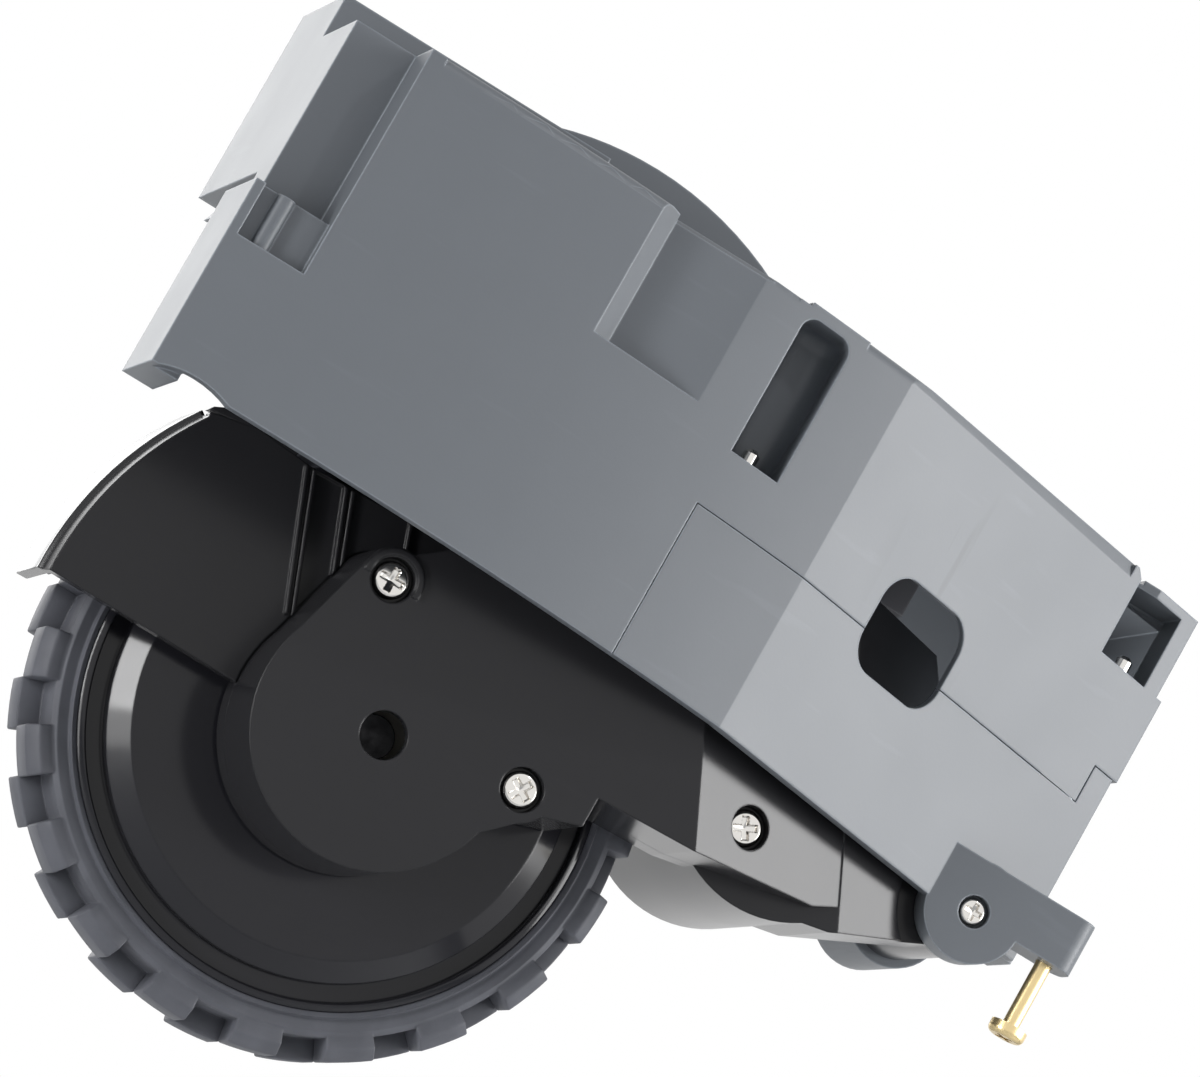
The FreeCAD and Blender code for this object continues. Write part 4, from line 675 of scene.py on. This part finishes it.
class WHEELMODULE_OT_stage(bpy.types.Operator):
    """Camera of the photograph, soft studio light, plain floor and white surroundings."""

    bl_idname = "wheel_module.stage"
    bl_label = "Stage"

    def execute(self, context):
        scene = context.scene
        lens = bpy.data.cameras.new("Camera")
        lens.lens = CAMERA_LENS
        lens.sensor_width = CAMERA_SENSOR
        lens.clip_start, lens.clip_end = CAMERA_REACH
        camera = bpy.data.objects.new("Camera", lens)
        turn = Matrix((CAMERA_RIGHT, -CAMERA_DOWN, -CAMERA_FORWARD)).transposed()
        camera.matrix_world = Matrix.Translation(CAMERA_AT) @ turn.to_4x4()
        scene.collection.objects.link(camera)
        scene.camera = camera
        scene.view_settings.view_transform = "Standard"
        self.world(scene)
        self.floor()
        for name, toward, distance, width, height, power in LAMPS:
            offset = Vector(toward).normalized() * distance
            light = self.lamp(scene, name, "AREA", power, MIDDLE + offset, offset.to_track_quat("Z", "Y"))
            light.shape = "ELLIPSE"
            light.size = width
            light.size_y = height
        self.lamp(scene, "Bay fill", "POINT", BAY_FILL_WATTS, BAY_FILL_AT, Quaternion())
        return {"FINISHED"}

    def lamp(self, scene, name, kind, power, place, turn):
        light = bpy.data.lights.new(name, kind)
        light.energy = power
        lamp = bpy.data.objects.new(name, light)
        lamp.location = place
        lamp.rotation_euler = turn.to_euler()
        scene.collection.objects.link(lamp)
        return light

    def world(self, scene):
        world = bpy.data.worlds.new("Studio")
        scene.world = world
        world.use_nodes = True
        world.node_tree.nodes.clear()
        studio = Wiring(world.node_tree)
        white = studio.node("ShaderNodeBackground")
        white.inputs["Color"].default_value = (1.0, 1.0, 1.0, 1.0)
        white.inputs["Strength"].default_value = 1.0
        soft = studio.node("ShaderNodeBackground")
        soft.inputs["Color"].default_value = WORLD_COLOUR
        soft.inputs["Strength"].default_value = WORLD_STRENGTH
        # The camera, mirrors and glass see plain white, and all else gets the soft light
        rays = studio.node("ShaderNodeLightPath")
        plain = rays.outputs["Is Camera Ray"]
        for kind in ("Is Glossy Ray", "Is Transmission Ray"):
            either = studio.node("ShaderNodeMath", operation="MAXIMUM")
            studio.link(plain, either.inputs[0])
            studio.link(rays.outputs[kind], either.inputs[1])
            plain = either.outputs[0]
        mixed = studio.node("ShaderNodeMixShader")
        studio.link(plain, mixed.inputs["Fac"])
        studio.link(soft.outputs[0], mixed.inputs[1])
        studio.link(white.outputs[0], mixed.inputs[2])
        studio.link(mixed.outputs[0], studio.node("ShaderNodeOutputWorld").inputs["Surface"])

    def floor(self):
        made = bmesh.new()
        bmesh.ops.create_grid(made, x_segments=2, y_segments=2, size=FLOOR_HALF)
        bmesh.ops.translate(made, verts=made.verts, vec=(0, 0, FLOOR_HEIGHT))
        floor = as_object(made, "floor")
        pale = Finish("floor_pale")
        pale.set(Base_Color=FLOOR_COLOUR, Roughness=FLOOR_ROUGHNESS, Emission_Color=FLOOR_COLOUR)
        rays = pale.node("ShaderNodeLightPath")
        glow = pale.spread(rays.outputs["Is Camera Ray"], 0.0, 1.0, 0.0, FLOOR_GLOW)
        pale.link(glow, pale.shader.inputs["Emission Strength"])
        floor.data.materials.append(pale.done())


class WHEELMODULE_OT_finishes(bpy.types.Operator):
    """Gives each carried-over piece its moulded, plated or drawn finish."""

    bl_idname = "wheel_module.finishes"
    bl_label = "Finishes"

    def execute(self, context):
        for name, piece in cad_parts.items():
            piece.data.materials.clear()
            piece.data.materials.append(finish_for(NODE_FINISH[name]))
        return {"FINISHED"}


class WHEELMODULE_OT_tyre(bpy.types.Operator):
    """Rubber tyre: stepped sidewall and two staggered rows of rounded lugs."""

    bl_idname = "wheel_module.tyre"
    bl_label = "Tyre"

    def execute(self, context):
        s = sizes()
        top = s.tread_radius / MM
        pitch = 2 * math.pi / s.lug_count
        tyre = spun(TYRE_PROFILE, TYRE_STEPS)
        for (near_y, points, far_y), phase in ((NEAR_ROW, s.lug_phase), (FAR_ROW, s.lug_phase + pitch / 2)):
            raised = [(top - depth, y) for depth, y in points]
            lug = wheel_slice([(LUG_FOOT, near_y)] + raised + [(LUG_FOOT, far_y)], pitch / 2 * LUG_SHARE)
            join_into(tyre, ring_of(lug, "tyre_rubber", s.lug_count, phase))
        new_piece("tyre_tread", tyre, "tyre_rubber", "wheel", replaced="tyre")
        return {"FINISHED"}


class WHEELMODULE_OT_hub(bpy.types.Operator):
    """Wheel hub: raised disc with a coned edge, groove, rim and inner spokes."""

    bl_idname = "wheel_module.hub"
    bl_label = "Hub"

    def execute(self, context):
        hub = spun(HUB_PROFILE, HUB_STEPS)
        spoke = bmesh.new()
        plate(spoke, SPOKE_OUTLINE, lambda x, y, side: Vector((x, y, (-SPOKE_HALF, SPOKE_HALF)[side])) * MM)
        bmesh.ops.recalc_face_normals(spoke, faces=spoke.faces)
        bmesh.ops.bevel(spoke, geom=spoke.edges[:], offset=SPOKE_ROUND * MM, segments=2, affect="EDGES",
                        profile=0.5)
        join_into(hub, ring_of(spoke, "hub_plastic", SPOKES, 0.0))
        new_piece("hub_disc", hub, "hub_plastic", "wheel", replaced="wheel_hub")
        return {"FINISHED"}


class WHEELMODULE_OT_guard_band(bpy.types.Operator):
    """Band that runs over the tread from the guard's edge, with the upper corner of the guard's plate."""

    bl_idname = "wheel_module.guard_band"
    bl_label = "Guard band"

    def execute(self, context):
        made = bmesh.new()
        turns = [BAND_START + (BAND_END - BAND_START) * step / BAND_STEPS for step in range(BAND_STEPS + 1)]
        skin(made, [wheel_ring(made, BAND_PROFILE, -turn) for turn in turns])
        plate(made, GUARD_CORNER, lambda x, z, side: AXLE + Vector((x, GUARD_CORNER_Y[side], z)) * MM)
        bmesh.ops.recalc_face_normals(made, faces=made.faces)
        new_piece("guard_band", made, "arm_plastic", "arm")
        return {"FINISHED"}


def cross_depth(x, z, radius, height):
    """How deep the cross is sunk at a place on a screw's head."""
    reach, half = CROSS_REACH * radius, CROSS_HALF * radius
    sunk = 0.0
    for along, across in ((abs(x), abs(z)), (abs(z), abs(x))):
        inside = min((reach - along) / CROSS_END_RUN, (half - across) / CROSS_SIDE_RUN)
        sunk = max(sunk, min(1.0, max(0.0, inside + 0.5)))
    return max(0.0, sunk * CROSS_DEPTH * height * (1.0 - CROSS_RISE * math.hypot(x, z) / reach))


def cross_headed(radius, height, shank_radius, length):
    """A screw along +Y from its head's top at the origin, with a cross recess sunk into a domed head."""
    made = bmesh.new()
    rings = []
    for ring in range(1, HEAD_RINGS + 1):
        share = ring / HEAD_RINGS
        rim = max(0.0, share - RIM_START) / (1.0 - RIM_START)
        fall = RIM_DROP * (1.0 - math.sqrt(max(0.0, 1.0 - rim ** 2))) + CROWN_DROP * share ** 2
        rings.append([made.verts.new(Vector((x, fall * radius + cross_depth(x, z, radius, height), z)) * MM)
                      for x, z in circle(radius * share, SCREW_STEPS)])
    for r, y in ((radius, height), (shank_radius, height), (shank_radius, length)):
        rings.append([made.verts.new(Vector((x, y, z)) * MM) for x, z in circle(r, SCREW_STEPS)])
    skin(made, rings, capped=False)
    middle = made.verts.new(Vector((0.0, CROSS_DEPTH * height, 0.0)) * MM)
    for i, point in enumerate(rings[0]):
        made.faces.new((middle, rings[0][(i + 1) % SCREW_STEPS], point))
    made.faces.new(rings[-1])
    bmesh.ops.recalc_face_normals(made, faces=made.faces)
    return made


def screws_at(tops, screw, turn):
    """A copy of the screw at each place, each turned further than the last."""
    spots = Repeat("Screws", finish_for("nickel"), Screw="Object", Turn="Float")
    info = spots.node("GeometryNodeObjectInfo")
    each = spots.node("ShaderNodeMath", operation="MULTIPLY")
    spots.link(spots.given["Screw"], info.inputs["Object"])
    spots.link(spots.index, each.inputs[0])
    spots.link(spots.given["Turn"], each.inputs[1])
    spots.copy(spots.given["Geometry"], info.outputs["Geometry"], each.outputs[0])
    points = bmesh.new()
    for top in tops:
        points.verts.new(AXLE + Vector(top) * MM)
    pattern = as_object(screw, "screw")
    made = spots.made_of(as_object(points, "places"), Screw=pattern, Turn=turn)
    bpy.data.objects.remove(pattern)
    return made


def screw_tip(x, y, foot, top):
    """The tapered end of a screw that stands up from its floor."""
    made = bmesh.new()
    rings = []
    for radius, z in ((TIP_RADIUS, foot), (TIP_RADIUS, top - TIP_TAPER), (TIP_POINT, top)):
        rings.append([made.verts.new(AXLE + Vector((x + along, y + across, z)) * MM)
                      for along, across in circle(radius, TIP_STEPS)])
    skin(made, rings)
    bmesh.ops.recalc_face_normals(made, faces=made.faces)
    return made


class WHEELMODULE_OT_screws(bpy.types.Operator):
    """Cross-headed screws of the gear case's cover and of the pivot, and tips of the captive screws."""

    bl_idname = "wheel_module.screws"
    bl_label = "Screws"

    def execute(self, context):
        cover = screws_at(COVER_SCREW_TOPS, cross_headed(*COVER_SCREW), COVER_SCREW_TURN)
        new_piece("cover_screw_heads", cover, "nickel", "arm", replaced="cover_screws")
        pivot = screws_at(PIVOT_SCREW_TOPS, cross_headed(*PIVOT_SCREW), 0.0)
        new_piece("pivot_screw_head", pivot, "nickel", "housing", replaced="pivot_screw")
        for x, y, foot, top, body in SCREW_TIPS:
            name = body.replace("fastener", "screw_tip")
            new_piece(name, screw_tip(x, y, foot, top), "nickel", body)
        return {"FINISHED"}


class WHEELMODULE_PT_panel(bpy.types.Panel):
    """Sidebar list of the module's pieces."""

    bl_label = "Wheel module"
    bl_idname = "WHEELMODULE_PT_panel"
    bl_space_type = "VIEW_3D"
    bl_region_type = "UI"
    bl_category = "Wheel module"

    def draw(self, context):
        layout = self.layout
        for group in (context.scene.wheel_module_sizes, context.scene.wheel_module_colours):
            for name in group.__annotations__:
                layout.prop(group, name)
        for operator in OPERATORS:
            layout.operator(operator.bl_idname)


OPERATORS = (
    WHEELMODULE_OT_stage,
    WHEELMODULE_OT_finishes,
    WHEELMODULE_OT_tyre,
    WHEELMODULE_OT_hub,
    WHEELMODULE_OT_guard_band,
    WHEELMODULE_OT_screws,
)
CLASSES = (ModuleSizes, ModuleColours) + OPERATORS + (WHEELMODULE_PT_panel,)


def register():
    for made in CLASSES:
        bpy.utils.register_class(made)
    bpy.types.Scene.wheel_module_sizes = bpy.props.PointerProperty(type=ModuleSizes)
    bpy.types.Scene.wheel_module_colours = bpy.props.PointerProperty(type=ModuleColours)


def unregister():
    del bpy.types.Scene.wheel_module_colours
    del bpy.types.Scene.wheel_module_sizes
    for made in reversed(CLASSES):
        bpy.utils.unregister_class(made)


def main():
    register()
    for operator in OPERATORS:
        group, name = operator.bl_idname.split(".")
        getattr(getattr(bpy.ops, group), name)()
    bpy.context.view_layer.update()


if __name__ == "__main__":
    main()
